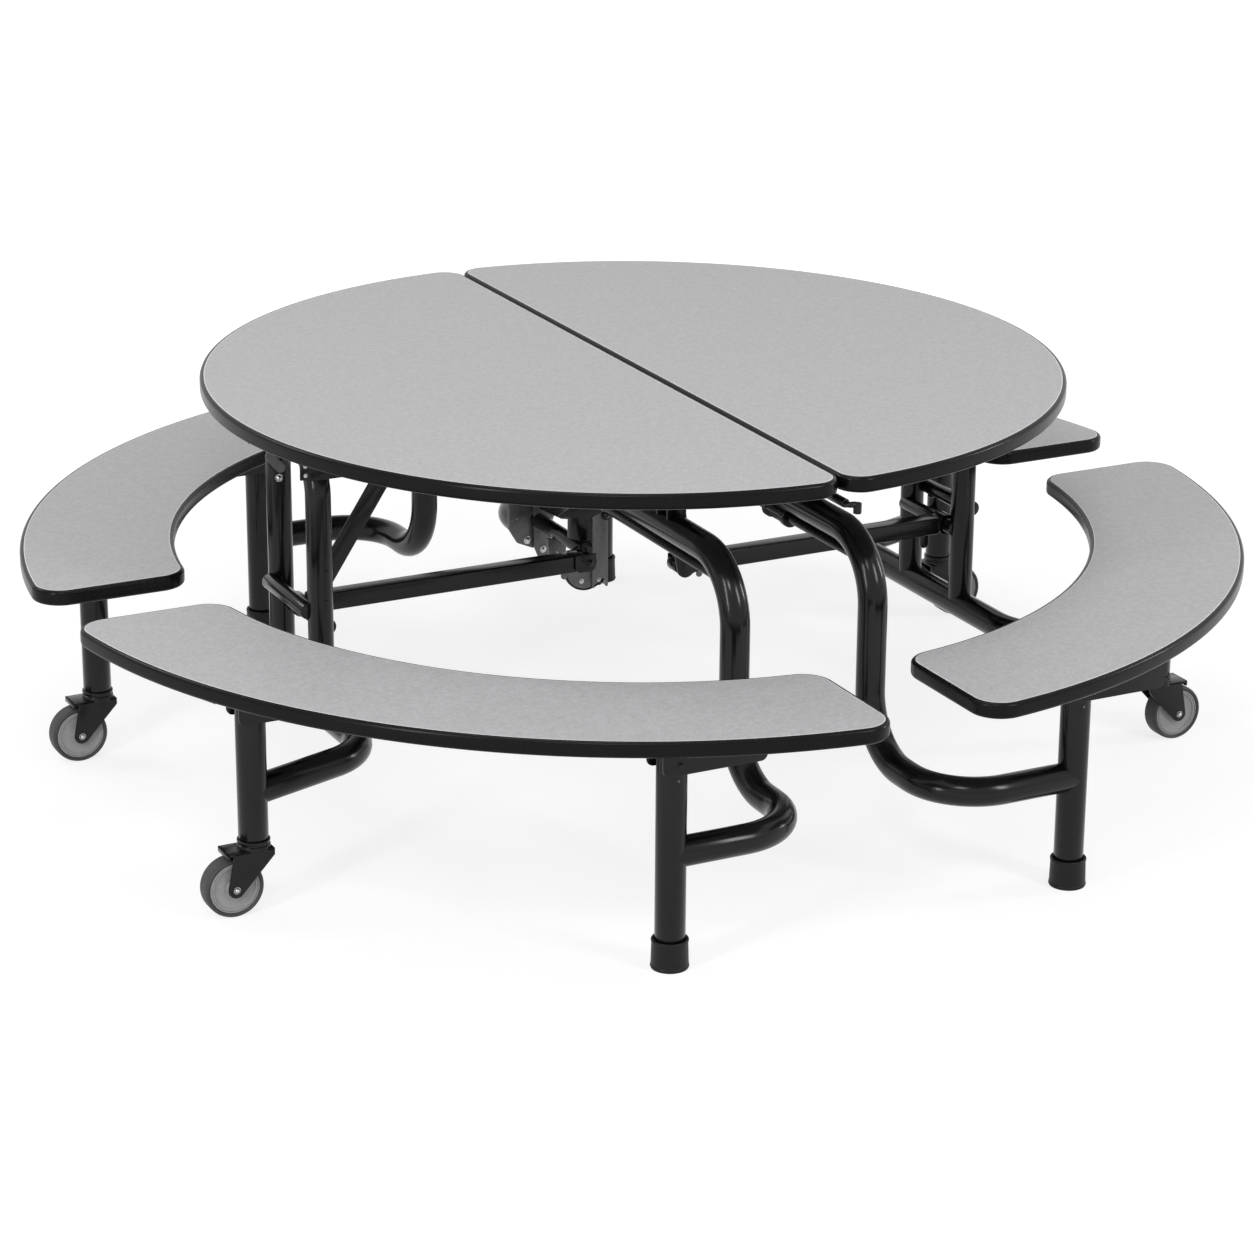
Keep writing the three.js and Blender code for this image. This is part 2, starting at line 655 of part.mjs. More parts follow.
// A swivelling caster under the post at x, y; its wheel trails towards -X.
function caster(name, x, y) {
  const axleX = x - CASTER_TRAIL;
  const axleZ = WHEEL / 2;
  const crownUnder = WHEEL + CROWN_CLEAR;
  const collarTop = casterHeight - FIT;
  const crownTop = crownUnder + FORK_PLATE;
  const inside = WHEEL_WIDTH / 2 + FORK_SIDE_GAP;
  const outside = inside + FORK_PLATE;
  const front = x + COLLAR / 2;
  const back = axleX - FORK_EYE;
  const leg = [
    new THREE.Vector2(back, crownTop),
    ...arc(axleX, axleZ, FORK_EYE, Math.PI, 2 * Math.PI, ROUND_SIDES / 2),
    new THREE.Vector2(front, crownUnder),
    new THREE.Vector2(front, crownTop),
  ];
  const legs = [-outside, inside].map((from) => plateY(leg, y + from, y + from + FORK_PLATE));
  const crown = box(back, front, y - outside, y + outside, crownUnder, crownTop);
  const collar = rodZ(x, y, COLLAR / 2, crownUnder, collarTop);
  const stemRadius = (MAIN_TUBE / 2 - TUBE_WALL) * Math.cos(Math.PI / BORE_SIDES) - FIT;
  const stem = rodZ(x, y, stemRadius, crownUnder, casterHeight + STEM_LENGTH);
  const nutReach = outside + FORK_PLATE;
  const axle = rodY(axleX, axleZ, AXLE / 2, y - nutReach, y + nutReach, BOLT_SIDES);
  const nuts = [-nutReach, outside - FIT].map((from) => {
    return rodY(axleX, axleZ, AXLE_NUT / 2, y + from, y + from + FORK_PLATE + FIT, HEX_SIDES);
  });
  const hubRadius = WHEEL / 2 - TYRE_THICK;
  const hubBore = boreRadius(AXLE / 2, RUN, WHEEL_SIDES);
  const ring = (inner, outer, width, crownRound) => {
    const half = width / 2;
    const profile = [
      [inner, -half],
      [outer - crownRound, -half],
      [outer, -half + crownRound],
      [outer, half - crownRound],
      [outer - crownRound, half],
      [inner, half],
      [inner, -half],
    ].map(([r, along]) => new THREE.Vector2(r, along));
    return new THREE.LatheGeometry(profile, WHEEL_SIDES).translate(axleX, y, axleZ);
  };
  return [
    part(`caster_${name}_fork`, join(crown, collar, stem, axle, ...legs, ...nuts), blackSteel),
    part(`caster_${name}_hub`, ring(hubBore, hubRadius, HUB_WIDTH, HUB_ROUND), hubPlastic),
    part(`caster_${name}_tyre`, ring(hubRadius + FIT, WHEEL / 2, WHEEL_WIDTH, TYRE_ROUND), tyreRubber),
  ];
}

// Everything on one half, in half A's place.
function half(side, farBench, nearBench, turn) {
  const group = new THREE.Group();
  const quarter = Math.PI / 2;
  group.add(...tabletop(side));
  group.add(outerSaddle(side), innerSaddle(side), seamBracket(side));
  group.add(hoop(side), lowRail(side), propBrace(side));
  group.add(sFrame(side), stiffener(side), linkBar(side));
  group.add(glideCap(`glide_cap_${farBench}`, -GLIDE_X, glideY));
  group.add(glideCap(`glide_cap_${nearBench}`, -GLIDE_X, -glideY));
  group.add(...bench(farBench, quarter, 1));
  group.add(...bench(nearBench, 2 * quarter, -1));
  group.add(...caster(farBench, -casterX, CASTER_Y));
  group.add(...caster(nearBench, -casterX, -CASTER_Y));
  group.rotation.z = turn;
  return group;
}

// The hanger between the halves: a yoke with the seam pins, and the plates that the link bars turn on.
function hanger() {
  const yokeTop = pivotZ + YOKE_TALL / 2;
  const yokeUnder = pivotZ - YOKE_TALL / 2;
  const halfYoke = YOKE_WIDTH / 2;
  const armNear = KNUCKLE_Y - KNUCKLE / 2;
  const armFar = KNUCKLE_Y + KNUCKLE / 2;
  const reachY = armFar + YOKE_ARM;
  const pieces = [box(-halfYoke, halfYoke, -reachY, reachY, yokeUnder, yokeTop)];
  for (const wayX of [-1, 1]) {
    const pinX = wayX * seamPivotX;
    const root = wayX * (halfYoke - FIT);
    const from = Math.min(pinX, root);
    const to = Math.max(pinX, root);
    for (const wayY of [-1, 1]) {
      for (const y of [wayY * (armNear - YOKE_ARM / 2), wayY * (armFar + YOKE_ARM / 2)]) {
        const y0 = y - YOKE_ARM / 2;
        const y1 = y + YOKE_ARM / 2;
        pieces.push(box(from, to, y0, y1, pivotZ - seamEye / 2, pivotZ + seamEye / 2));
        pieces.push(rodY(pinX, pivotZ, seamEye, y0, y1));
      }
      const pinFrom = Math.min(wayY * armNear, wayY * armFar) - RUN;
      const pinTo = Math.max(wayY * armNear, wayY * armFar) + RUN;
      pieces.push(rodY(pinX, pivotZ, SEAM_PIN / 2, pinFrom, pinTo));
    }
  }
  const pinReach = linkY - LINK_SIZE / 2 - RUN;
  const armEnd = HANGER_PIN / 2 + PLATE + 2 * RUN;
  const armTop = halfYoke - ARM_TOP_SHIFT;
  const armOutline = [
    new THREE.Vector2(armTop - ARM_TOP_WIDTH, yokeUnder + FIT),
    ...arc(linkEndX, LINK_Z, armEnd, Math.PI, 2 * Math.PI, ROUND_SIDES / 2),
    new THREE.Vector2(armTop, yokeUnder + FIT),
  ];
  pieces.push(plateY(armOutline, -hangerPlateY - PLATE, -hangerPlateY));
  pieces.push(rodY(linkEndX, LINK_Z, HANGER_PIN / 2, -hangerPlateY - FIT, -pinReach));

  const channelY0 = hangerPlateY + PLATE - FIT;
  const channelY1 = channelY0 + CHANNEL_DEPTH;
  const halfChannel = CHANNEL_WIDTH / 2;
  const channelTop = yokeUnder - FIT;
  const open = halfChannel - CHANNEL_WALL;
  const channelX0 = channelX - halfChannel;
  const channelX1 = channelX + halfChannel;
  const channelBottom = LINK_Z - CHANNEL_BELOW_LINK;
  const channel = cut(
    box(channelX0, channelX1, channelY0, channelY1, channelBottom, channelTop),
    box(channelX - open, channelX + open, channelY0 + CHANNEL_WALL, channelY1 + PLATE, 0, TOP_HEIGHT),
  );
  const disc = rodY(discX, discZ, DISC_RADIUS, hangerPlateY, hangerPlateY + PLATE, WHEEL_SIDES);
  const pin = rodY(-linkEndX, LINK_Z, HANGER_PIN / 2, pinReach, hangerPlateY + FIT);

  const leverRadius = LEVER_WIDTH / 2;
  const leverX = discX - LEVER_SHIFT;
  const leverY = reachY - PLATE;
  const tubeZ = LINK_Z + HANGER_TUBE_RISE;
  const leverEndZ = LINK_Z - LEVER_BELOW_LINK + leverRadius;
  const lever = plateY(
    [
      new THREE.Vector2(-halfYoke, channelTop),
      new THREE.Vector2(-halfYoke, tubeZ + leverRadius + LEVER_KNEE),
      new THREE.Vector2(leverX - leverRadius, tubeZ + leverRadius),
      ...arc(leverX, leverEndZ, leverRadius, Math.PI, 2 * Math.PI, ROUND_SIDES / 2),
      new THREE.Vector2(leverX + leverRadius, tubeZ + leverRadius),
      new THREE.Vector2(0, tubeZ + leverRadius + LEVER_KNEE),
      new THREE.Vector2(0, channelTop),
    ],
    leverY,
    leverY + PLATE,
  );
  const tubeX = channelX0 - CROSS_TUBE / 2 - FIT;
  const tubeFrom = hangerPlateY + PLATE + FIT;
  const cross = rodY(tubeX, tubeZ, CROSS_TUBE / 2, tubeFrom, leverY - FIT);
  const group = new THREE.Group();
  group.add(part("hanger_yoke", join(...pieces), blackSteel));
  group.add(part("hanger_channel", join(channel, disc, pin), greySteel));
  group.add(part("hanger_lever_plate", lever, greySteel));
  group.add(part("hanger_cross_tube", cross, blackSteel));
  return group;
}

// The cranked rod under half B's seam side, and the guide it turns in.
function latch() {
  const z = topUnder - LATCH_DROP;
  const radius = LATCH_ROD / 2;
  const nearY = LATCH_INSET - TOP_RADIUS;
  const farY = nearY + LATCH_LENGTH;
  const corners = [
    [LATCH_X, farY, z],
    [LATCH_X, nearY, z],
    [LATCH_X + LATCH_CRANK, nearY, z],
    [LATCH_X + LATCH_CRANK, nearY, z - LATCH_CRANK],
  ];
  const rod = tube(corners, LATCH_BEND, LATCH_ROD);
  const eye = radius + RUN + BRACKET_PLATE;
  const bore = boreRadius(radius, RUN, ROUND_SIDES);
  const guideYs = LATCH_GUIDE_INSETS.map((inset) => nearY + inset);
  const strip = box(
    LATCH_X - eye,
    LATCH_X + eye,
    Math.min(...guideYs) - LATCH_GUIDE / 2,
    Math.max(...guideYs) + LATCH_GUIDE / 2,
    plateTop - BRACKET_PLATE,
    plateTop,
  );
  const eyes = guideYs.map((y) => {
    return plateY(tongue(LATCH_X, z, eye, plateTop - FIT), y - LATCH_GUIDE / 2, y + LATCH_GUIDE / 2);
  });
  const hole = rodY(LATCH_X, z, bore, nearY, farY);
  const group = new THREE.Group();
  group.add(part("latch_rod", rod, blackSteel));
  group.add(part("latch_guide", cut(join(strip, ...eyes), hole), blackSteel));
  return group;
}

const table = new THREE.Group();
table.add(half("a", "left", "front", 0));
table.add(half("b", "right", "back", Math.PI));
table.add(hanger(), latch());

export default table;
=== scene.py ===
# %% [markdown]
# # A round folding cafeteria table, dressed piece by piece
# The measured solids of the table are already packed as a fixed frame in metres, with +Z up and the seam
# between the two tabletop halves along Y. This lesson models a finer piece for each of them, lets it ride on
# the body that carries it, and then sets up the finishes, the light and the camera.
# Half A lies at x < 0. Half B is the same half turned round, so most pieces are modelled once and copied.

# %% Load the frame
import math

import bmesh
import bpy
from mathutils import Matrix, Vector


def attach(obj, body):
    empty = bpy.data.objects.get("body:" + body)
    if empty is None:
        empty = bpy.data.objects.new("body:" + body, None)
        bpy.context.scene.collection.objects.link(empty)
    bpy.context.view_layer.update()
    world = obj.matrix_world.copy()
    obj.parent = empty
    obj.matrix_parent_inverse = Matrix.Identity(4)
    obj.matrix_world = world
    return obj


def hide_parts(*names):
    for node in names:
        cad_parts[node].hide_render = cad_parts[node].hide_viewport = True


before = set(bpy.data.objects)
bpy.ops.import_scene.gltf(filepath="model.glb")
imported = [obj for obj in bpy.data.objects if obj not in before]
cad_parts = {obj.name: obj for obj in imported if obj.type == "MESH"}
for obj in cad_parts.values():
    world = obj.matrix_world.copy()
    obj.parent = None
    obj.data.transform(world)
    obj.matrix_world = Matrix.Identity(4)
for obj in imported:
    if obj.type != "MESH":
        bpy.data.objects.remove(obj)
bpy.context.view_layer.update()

# %% [markdown]
# ## Working as by hand
# Every piece starts from a primitive and is shaped in edit mode. Two moves do most of the work here: a run
# draws the selected points straight out, and a turn carries them round a centre. One point drawn this way
# leaves an outline, and a ring drawn this way leaves a bent tube, which is how a tube bender sees it too.

# %% Helpers: start, draw and finish a piece
Z_AXIS = Vector((0, 0, 1))
MERGE = 0.00001


def start(name, add, **settings):
    bpy.ops.object.select_all(action="DESELECT")
    add(**settings)
    piece = bpy.context.object
    piece.name = name
    piece.data.name = name
    bpy.ops.object.transform_apply(location=True, rotation=True, scale=True)
    bpy.ops.object.mode_set(mode="EDIT")
    bpy.ops.mesh.select_mode(type="VERT")
    bpy.ops.mesh.select_all(action="SELECT")
    return piece


def run(by):
    bpy.ops.mesh.extrude_region_move(TRANSFORM_OT_translate={"value": tuple(by)})


def turn(centre, axis, angle, steps):
    bpy.ops.mesh.spin(steps=steps, angle=-angle, center=tuple(centre), axis=tuple(axis))


def done(piece, smooth=32):
    bpy.ops.mesh.select_all(action="SELECT")
    bpy.ops.mesh.remove_doubles(threshold=MERGE)
    bpy.ops.mesh.normals_make_consistent(inside=False)
    bpy.ops.object.mode_set(mode="OBJECT")
    bpy.ops.object.shade_smooth_by_angle(angle=math.radians(smooth))
    return piece


def ease(width, segments=2, sharp=35):
    bpy.ops.mesh.select_all(action="DESELECT")
    bpy.ops.mesh.select_mode(type="EDGE")
    bpy.ops.mesh.edges_select_sharp(sharpness=math.radians(sharp))
    bpy.ops.mesh.bevel(offset=width, offset_type="OFFSET", segments=segments, profile=0.5, clamp_overlap=True)
    bpy.ops.mesh.select_mode(type="VERT")


def pick(kind, test):
    bpy.ops.mesh.select_mode(type=kind)
    bpy.ops.mesh.select_all(action="DESELECT")
    mesh = bmesh.from_edit_mesh(bpy.context.object.data)
    items = {"VERT": mesh.verts, "EDGE": mesh.edges, "FACE": mesh.faces}[kind]
    for item in items:
        item.select_set(bool(test(item)))
    mesh.select_flush_mode()
    bmesh.update_edit_mesh(bpy.context.object.data)


def unite(name, pieces):
    bpy.ops.object.select_all(action="DESELECT")
    for piece in pieces:
        piece.select_set(True)
    bpy.context.view_layer.objects.active = pieces[0]
    if len(pieces) > 1:
        bpy.ops.object.join()
    pieces[0].name = name
    pieces[0].data.name = name
    return pieces[0]


def copy_to(piece, name, turn_by=0.0, move=(0, 0, 0)):
    bpy.ops.object.select_all(action="DESELECT")
    piece.select_set(True)
    bpy.context.view_layer.objects.active = piece
    bpy.ops.object.duplicate()
    twin = bpy.context.object
    twin.name = name
    twin.data.name = name
    twin.rotation_euler.z = math.radians(turn_by)
    twin.location = move
    bpy.ops.object.transform_apply(location=True, rotation=True, scale=True)
    return twin


# %% Helpers: outlines, plates, turned shapes, blocks and tubes
PLANES = {
    "XY": (Vector((1, 0, 0)), Vector((0, 1, 0)), Vector((0, 0, 1))),
    "XZ": (Vector((1, 0, 0)), Vector((0, 0, 1)), Vector((0, -1, 0))),
    "YZ": (Vector((0, 1, 0)), Vector((0, 0, 1)), Vector((1, 0, 0))),
}


def outline(name, plane, level, first, moves):
    """Draws a closed outline from one point and fills it; a move goes to a point or turns round one."""
    across, along, axis = PLANES[plane]
    lift = axis * level

    def spot(u, v):
        return across * u + along * v + lift

    place = tuple(spot(*first))
    piece = start(name, bpy.ops.mesh.primitive_plane_add, size=0.01, location=place)
    bpy.ops.mesh.merge(type="CENTER")
    at = Vector(first)
    for move in moves:
        if move[0] == "to":
            by = Vector(move[1:]) - at
            run(across * by.x + along * by.y)
            at = Vector(move[1:])
        else:
            _, u, v, degrees, steps = move
            centre = Vector((u, v))
            turn(spot(u, v), axis, math.radians(degrees), steps)
            at = centre + Matrix.Rotation(math.radians(degrees), 2) @ (at - centre)
    bpy.ops.mesh.select_all(action="SELECT")
    bpy.ops.mesh.remove_doubles(threshold=MERGE)
    bpy.ops.mesh.edge_face_add()
    return piece


def plate(name, plane, level, thick, first, moves, eased=0.0006):
    """A flat plate: an outline drawn out by its thickness along the plane's axis."""
    piece = outline(name, plane, level, first, moves)
    run(PLANES[plane][2] * thick)
    if eased:
        ease(eased)
    return done(piece)


def turned(name, base, axis, profile, steps=48, eased=0.0):
    """A shape turned on a lathe: a profile of radius and height drawn point by point, spun once round."""
    axis = Vector(axis)
    side = axis.orthogonal().normalized()
    spots = [Vector(base) + side * r + axis * h for r, h in profile]
    piece = start(name, bpy.ops.mesh.primitive_plane_add, size=0.01, location=tuple(spots[0]))
    bpy.ops.mesh.merge(type="CENTER")
    for before, after in zip(spots, spots[1:]):
        run(after - before)
    bpy.ops.mesh.select_all(action="SELECT")
    turn(base, axis, 2 * math.pi, steps)
    bpy.ops.mesh.select_all(action="SELECT")
    bpy.ops.mesh.remove_doubles(threshold=MERGE)
    bpy.ops.mesh.normals_make_consistent(inside=False)
    if eased:
        ease(eased)
    return done(piece)


def block(name, low, high, eased=0.001, segments=2):
    low, high = Vector(low), Vector(high)
    piece = start(name, bpy.ops.mesh.primitive_cube_add, size=1, location=tuple((low + high) / 2))
    bpy.ops.transform.resize(value=tuple(high - low), center_override=tuple((low + high) / 2))
    ease(eased, segments)
    return done(piece)


def tube(name, corners, bend, diameter, sides=40, bend_steps=14, eased=0.0012):
    """A round tube: a ring drawn along each straight run and carried round each bend."""
    points = [Vector(corner) for corner in corners]
    legs = [(b - a).normalized() for a, b in zip(points, points[1:])]
    lean = legs[0].to_track_quat("Z", "Y").to_euler()
    piece = start(
        name,
        bpy.ops.mesh.primitive_circle_add,
        vertices=sides,
        radius=diameter / 2,
        fill_type="NGON",
        location=tuple(points[0]),
        rotation=tuple(lean),
    )
    at = points[0]
    for corner, into, out in zip(points[1:-1], legs, legs[1:]):
        angle = into.angle(out)
        reach = bend * math.tan(angle / 2)
        stop = corner - into * reach
        inward = (out - into * math.cos(angle)).normalized()
        run(stop - at)
        turn(stop + inward * bend, into.cross(out).normalized(), angle, bend_steps)
        at = corner + out * reach
    run(points[-1] - at)
    ease(eased)
    return done(piece)


# %% [markdown]
# ## Finishes
# The frame is black powder coat with the fine orange peel that baked powder leaves. The tops are a light grey
# decorative laminate with a close mottle, their edges are moulded in black plastic, and the small parts are
# plated steel, rubber and plastic. The mottle and the orange peel serve many finishes, so each is built once
# as a node group, and every material places it with its own values.

# %% Node groups: mottle and orange peel
TREE = "ShaderNodeTree"


def group(name, inputs, output):
    tree = bpy.data.node_groups.new(name, TREE)
    for label, value in inputs.items():
        socket = tree.interface.new_socket(name=label, in_out="INPUT", socket_type="NodeSocketFloat")
        socket.default_value = value
    tree.interface.new_socket(name=output, in_out="OUTPUT", socket_type="NodeSocketFloat")
    enter = tree.nodes.new("NodeGroupInput")
    leave = tree.nodes.new("NodeGroupOutput")
    place = tree.nodes.new("ShaderNodeTexCoord")
    return tree, enter, leave, place.outputs["Object"]


def noise(tree, vector, scale, detail=2.0, rough=0.5):
    node = tree.nodes.new("ShaderNodeTexNoise")
    node.inputs["Detail"].default_value = detail
    node.inputs["Roughness"].default_value = rough
    tree.links.new(vector, node.inputs["Vector"])
    if isinstance(scale, (int, float)):
        node.inputs["Scale"].default_value = scale
    else:
        tree.links.new(scale, node.inputs["Scale"])
    return node.outputs["Fac"]


def math_node(tree, operation, first, second):
    node = tree.nodes.new("ShaderNodeMath")
    node.operation = operation
    for socket, value in zip(node.inputs, (first, second)):
        if isinstance(value, (int, float)):
            socket.default_value = value
        else:
            tree.links.new(value, socket)
    return node.outputs[0]


def make_mottle():
    tree, enter, leave, place = group("mottle", {"Fine": 900.0, "Broad": 60.0, "Share": 0.6}, "Mask")
    fine = noise(tree, place, enter.outputs["Fine"], 3.0, 0.6)
    broad = noise(tree, place, enter.outputs["Broad"], 3.0, 0.55)
    near = math_node(tree, "MULTIPLY", fine, enter.outputs["Share"])
    rest = math_node(tree, "SUBTRACT", 1.0, enter.outputs["Share"])
    far = math_node(tree, "MULTIPLY", broad, rest)
    tree.links.new(math_node(tree, "ADD", near, far), leave.inputs["Mask"])
    return tree


def make_peel():
    tree, enter, leave, place = group("orange_peel", {"Scale": 420.0, "Depth": 1.0}, "Height")
    waves = noise(tree, place, enter.outputs["Scale"], 1.5, 0.45)
    tree.links.new(math_node(tree, "MULTIPLY", waves, enter.outputs["Depth"]), leave.inputs["Height"])
    return tree


MOTTLE = make_mottle()
PEEL = make_peel()
print("node groups:", MOTTLE.name, PEEL.name)

# %% One way to lay out a finish
def finish(name, dark, light, rough, mottle, peel=None, metallic=0.0, specular=0.5, span=(0.35, 0.65)):
    """A Principled finish whose colour and roughness follow the mottle and whose bump is orange peel."""
    material = bpy.data.materials.new(name)
    material.use_nodes = True
    tree = material.node_tree
    shader = tree.nodes["Principled BSDF"]
    shader.inputs["Metallic"].default_value = metallic
    shader.inputs["Specular IOR Level"].default_value = specular
    cloud = tree.nodes.new("ShaderNodeGroup")
    cloud.node_tree = MOTTLE
    for label, value in mottle.items():
        cloud.inputs[label].default_value = value
    ramp = tree.nodes.new("ShaderNodeValToRGB")
    ramp.color_ramp.elements[0].position = span[0]
    ramp.color_ramp.elements[1].position = span[1]
    ramp.color_ramp.elements[0].color = (*dark, 1)
    ramp.color_ramp.elements[1].color = (*light, 1)
    tree.links.new(cloud.outputs["Mask"], ramp.inputs["Fac"])
    tree.links.new(ramp.outputs["Color"], shader.inputs["Base Color"])
    gloss = tree.nodes.new("ShaderNodeMapRange")
    gloss.inputs["From Min"].default_value = span[0]
    gloss.inputs["From Max"].default_value = span[1]
    gloss.inputs["To Min"].default_value = rough[0]
    gloss.inputs["To Max"].default_value = rough[1]
    tree.links.new(cloud.outputs["Mask"], gloss.inputs["Value"])
    tree.links.new(gloss.outputs["Result"], shader.inputs["Roughness"])
    if peel:
        skin = tree.nodes.new("ShaderNodeGroup")
        skin.node_tree = PEEL
        skin.inputs["Scale"].default_value = peel[0]
        bump = tree.nodes.new("ShaderNodeBump")
        bump.inputs["Strength"].default_value = peel[1]
        bump.inputs["Distance"].default_value = 0.0004
        tree.links.new(skin.outputs["Height"], bump.inputs["Height"])
        tree.links.new(bump.outputs["Normal"], shader.inputs["Normal"])
    return material


def grey(value, tint=1.02):
    return (value, value, value * tint)


GRAIN = {"Fine": 330.0, "Broad": 110.0, "Share": 0.6}
SMOOTH_COAT = {"Fine": 300.0, "Broad": 14.0}
LAMINATE = finish(
    "laminate", grey(0.385), grey(0.495), (0.46, 0.56), GRAIN, (900.0, 0.05), specular=0.3, span=(0.38, 0.62)
)
CUT_EDGE = finish("laminate_cut_edge", grey(0.64), grey(0.72), (0.5, 0.6), GRAIN, None, specular=0.3)
EDGE = finish("edge_band", grey(0.003), grey(0.005), (0.22, 0.3), SMOOTH_COAT, (700.0, 0.03), specular=0.12)
POWDER = finish("powder_coat", grey(0.003), grey(0.005), (0.17, 0.22), SMOOTH_COAT, (480.0, 0.02), specular=0.27)
PLATED = finish("grey_plated_steel", grey(0.105), grey(0.15), (0.32, 0.45), GRAIN, (300.0, 0.04), 0.3)
ZINC = finish("bright_bolt", grey(0.45), grey(0.6), (0.22, 0.36), GRAIN, None, 1.0)
RUBBER = finish("black_rubber", grey(0.007), grey(0.012), (0.42, 0.55), GRAIN, (600.0, 0.08), specular=0.2)
TREAD = finish("tyre_rubber", grey(0.046), grey(0.060), (0.5, 0.62), GRAIN, (500.0, 0.08), specular=0.3)
HUB = finish("hub_plastic", grey(0.30), grey(0.36), (0.4, 0.5), GRAIN, (700.0, 0.05), specular=0.4)
print("finishes:", len(bpy.data.materials))

# %% Dress a piece
def dress(piece, material, slot, body, *nodes):
    if not piece.data.materials:
        piece.data.materials.append(material)
    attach(piece, body)
    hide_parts(*nodes)
    return piece


# %% [markdown]
# ## Tabletop
# Each half is a laminate-faced board with a black moulded band round it. A cylinder cut in two would leave
# sharp corners at the seam, so the outline is drawn instead: along the seam, round a corner, round the big
# arc and round the other corner. The band is the same outline drawn a little wider, rounded along both rims,
# and emptied by an inset.

# %% The two tabletop halves
TOP_RADIUS = 0.762
TOP_LEVEL = 0.725
BOARD = 0.027
TOP_UNDER = TOP_LEVEL - BOARD
BAND = 0.007
BAND_ROUND = 0.0064
FIT = 0.0003
CUT_LINE = 0.0015


def half_round(radius, seam, corner):
    x = -(seam + corner)
    y = math.sqrt((radius - corner) ** 2 - x**2)
    lean = math.degrees(math.atan2(y, x))
    moves = [
        ("to", -seam, y),
        ("turn", x, y, lean, 12),
        ("turn", 0, 0, 360 - 2 * lean, 144),
        ("turn", x, -y, lean, 12),
    ]
    return (-seam, -y), moves


def board(name, level, shape):
    """A laminate-faced board; the pale line where the laminate is trimmed is a face of its own."""
    piece = plate(name, "XY", level, BOARD, *shape, eased=0.0005)
    piece.data.materials.append(LAMINATE)
    piece.data.materials.append(CUT_EDGE)
    bpy.ops.object.mode_set(mode="EDIT")
    pick("FACE", lambda face: face.normal.z > 0.99 and len(face.verts) > 40)
    bpy.ops.mesh.inset(thickness=CUT_LINE, depth=0)
    pick("FACE", lambda face: face.normal.z > 0.5 and len(face.verts) < 40)
    piece.active_material_index = 1
    bpy.ops.object.material_slot_assign()
    return done(piece)


def band(name, level, shape):
    piece = outline(name, "XY", level, *shape)
    run(Z_AXIS * BOARD)
    ease(BAND_ROUND, 6)
    pick("FACE", lambda face: abs(face.normal.z) > 0.99 and len(face.verts) > 40)
    bpy.ops.mesh.inset(thickness=BAND - FIT - BAND_ROUND, depth=0)
    bpy.ops.mesh.delete(type="ONLY_FACE")
    pick("EDGE", lambda edge: edge.is_boundary)
    bpy.ops.mesh.bridge_edge_loops()
    return done(piece)


top_a = board("laminate_top_a", TOP_UNDER, half_round(TOP_RADIUS - BAND, 0.0015 + BAND, 0.044 - BAND))
rim_a = band("edge_band_top_a", TOP_UNDER, half_round(TOP_RADIUS, 0.0015, 0.044))
top_b = copy_to(top_a, "laminate_top_b", 180)
rim_b = copy_to(rim_a, "edge_band_top_b", 180)
dress(top_a, LAMINATE, "laminate", "top_a", "top_board_a")
dress(top_b, LAMINATE, "laminate", "top_b", "top_board_b")
dress(rim_a, EDGE, "edge_band", "top_a", "top_edge_a")
dress(rim_b, EDGE, "edge_band", "top_b", "top_edge_b")
print("tabletop:", len(top_a.data.polygons), "faces a board,", len(rim_a.data.polygons), "a band")

# %% [markdown]
# ## Benches
# Four curved benches stand round the table, all alike. One is drawn in the quarter where x and y are
# positive, with its ends square to X and Y, and the other three are copies turned round the middle.

# %% The four benches
BENCH_INNER = 0.816
BENCH_OUTER = 1.0855
BENCH_LEVEL = 0.432
BENCH_UNDER = BENCH_LEVEL - BOARD
BENCHES = {"left": 90, "front": 180, "right": 270, "back": 0}


def bench_shape(inset):
    inner, outer = BENCH_INNER + inset, BENCH_OUTER - inset
    end, corner = 0.077 + inset, 0.052 - inset
    reach = end + corner
    out_x = math.sqrt((outer - corner) ** 2 - reach**2)
    in_x = math.sqrt((inner + corner) ** 2 - reach**2)
    out_lean = math.degrees(math.atan2(reach, out_x))
    in_lean = math.degrees(math.atan2(reach, in_x))
    moves = [
        ("to", out_x, end),
        ("turn", out_x, reach, 90 + out_lean, 12),
        ("turn", 0, 0, 90 - 2 * out_lean, 56),
        ("turn", reach, out_x, 90 + out_lean, 12),
        ("to", end, in_x),
        ("turn", reach, in_x, 90 - in_lean, 12),
        ("turn", 0, 0, -(90 - 2 * in_lean), 48),
        ("turn", in_x, reach, 90 - in_lean, 12),
    ]
    return (in_x, end), moves


seat = board("bench_seat_back", BENCH_UNDER, bench_shape(BAND))
seat_rim = band("bench_band_back", BENCH_UNDER, bench_shape(0))
for place, degrees in BENCHES.items():
    if degrees:
        laminate = copy_to(seat, f"bench_seat_{place}", degrees)
        edge = copy_to(seat_rim, f"bench_band_{place}", degrees)
    else:
        laminate, edge = seat, seat_rim
    dress(laminate, LAMINATE, "laminate", f"bench_{place}", f"bench_{place}_board")
    dress(edge, EDGE, "edge_band", f"bench_{place}", f"bench_{place}_edge")
print("benches:", ", ".join(BENCHES))

# %% [markdown]
# ## Bent tube frames
# The legs are steel tube bent cold on a mandrel, so every bend has the same radius and the tube stays round.
# A curve with a round bevel would be quick, but drawing a ring along the runs and round the bends gives clean
# rings of faces at each bend and keeps the ends square. The S-frames carry upright lugs with pins, on which
# the tabletop turns, and a thin stiffener runs under each top run. Half B's carries a clamp sleeve.

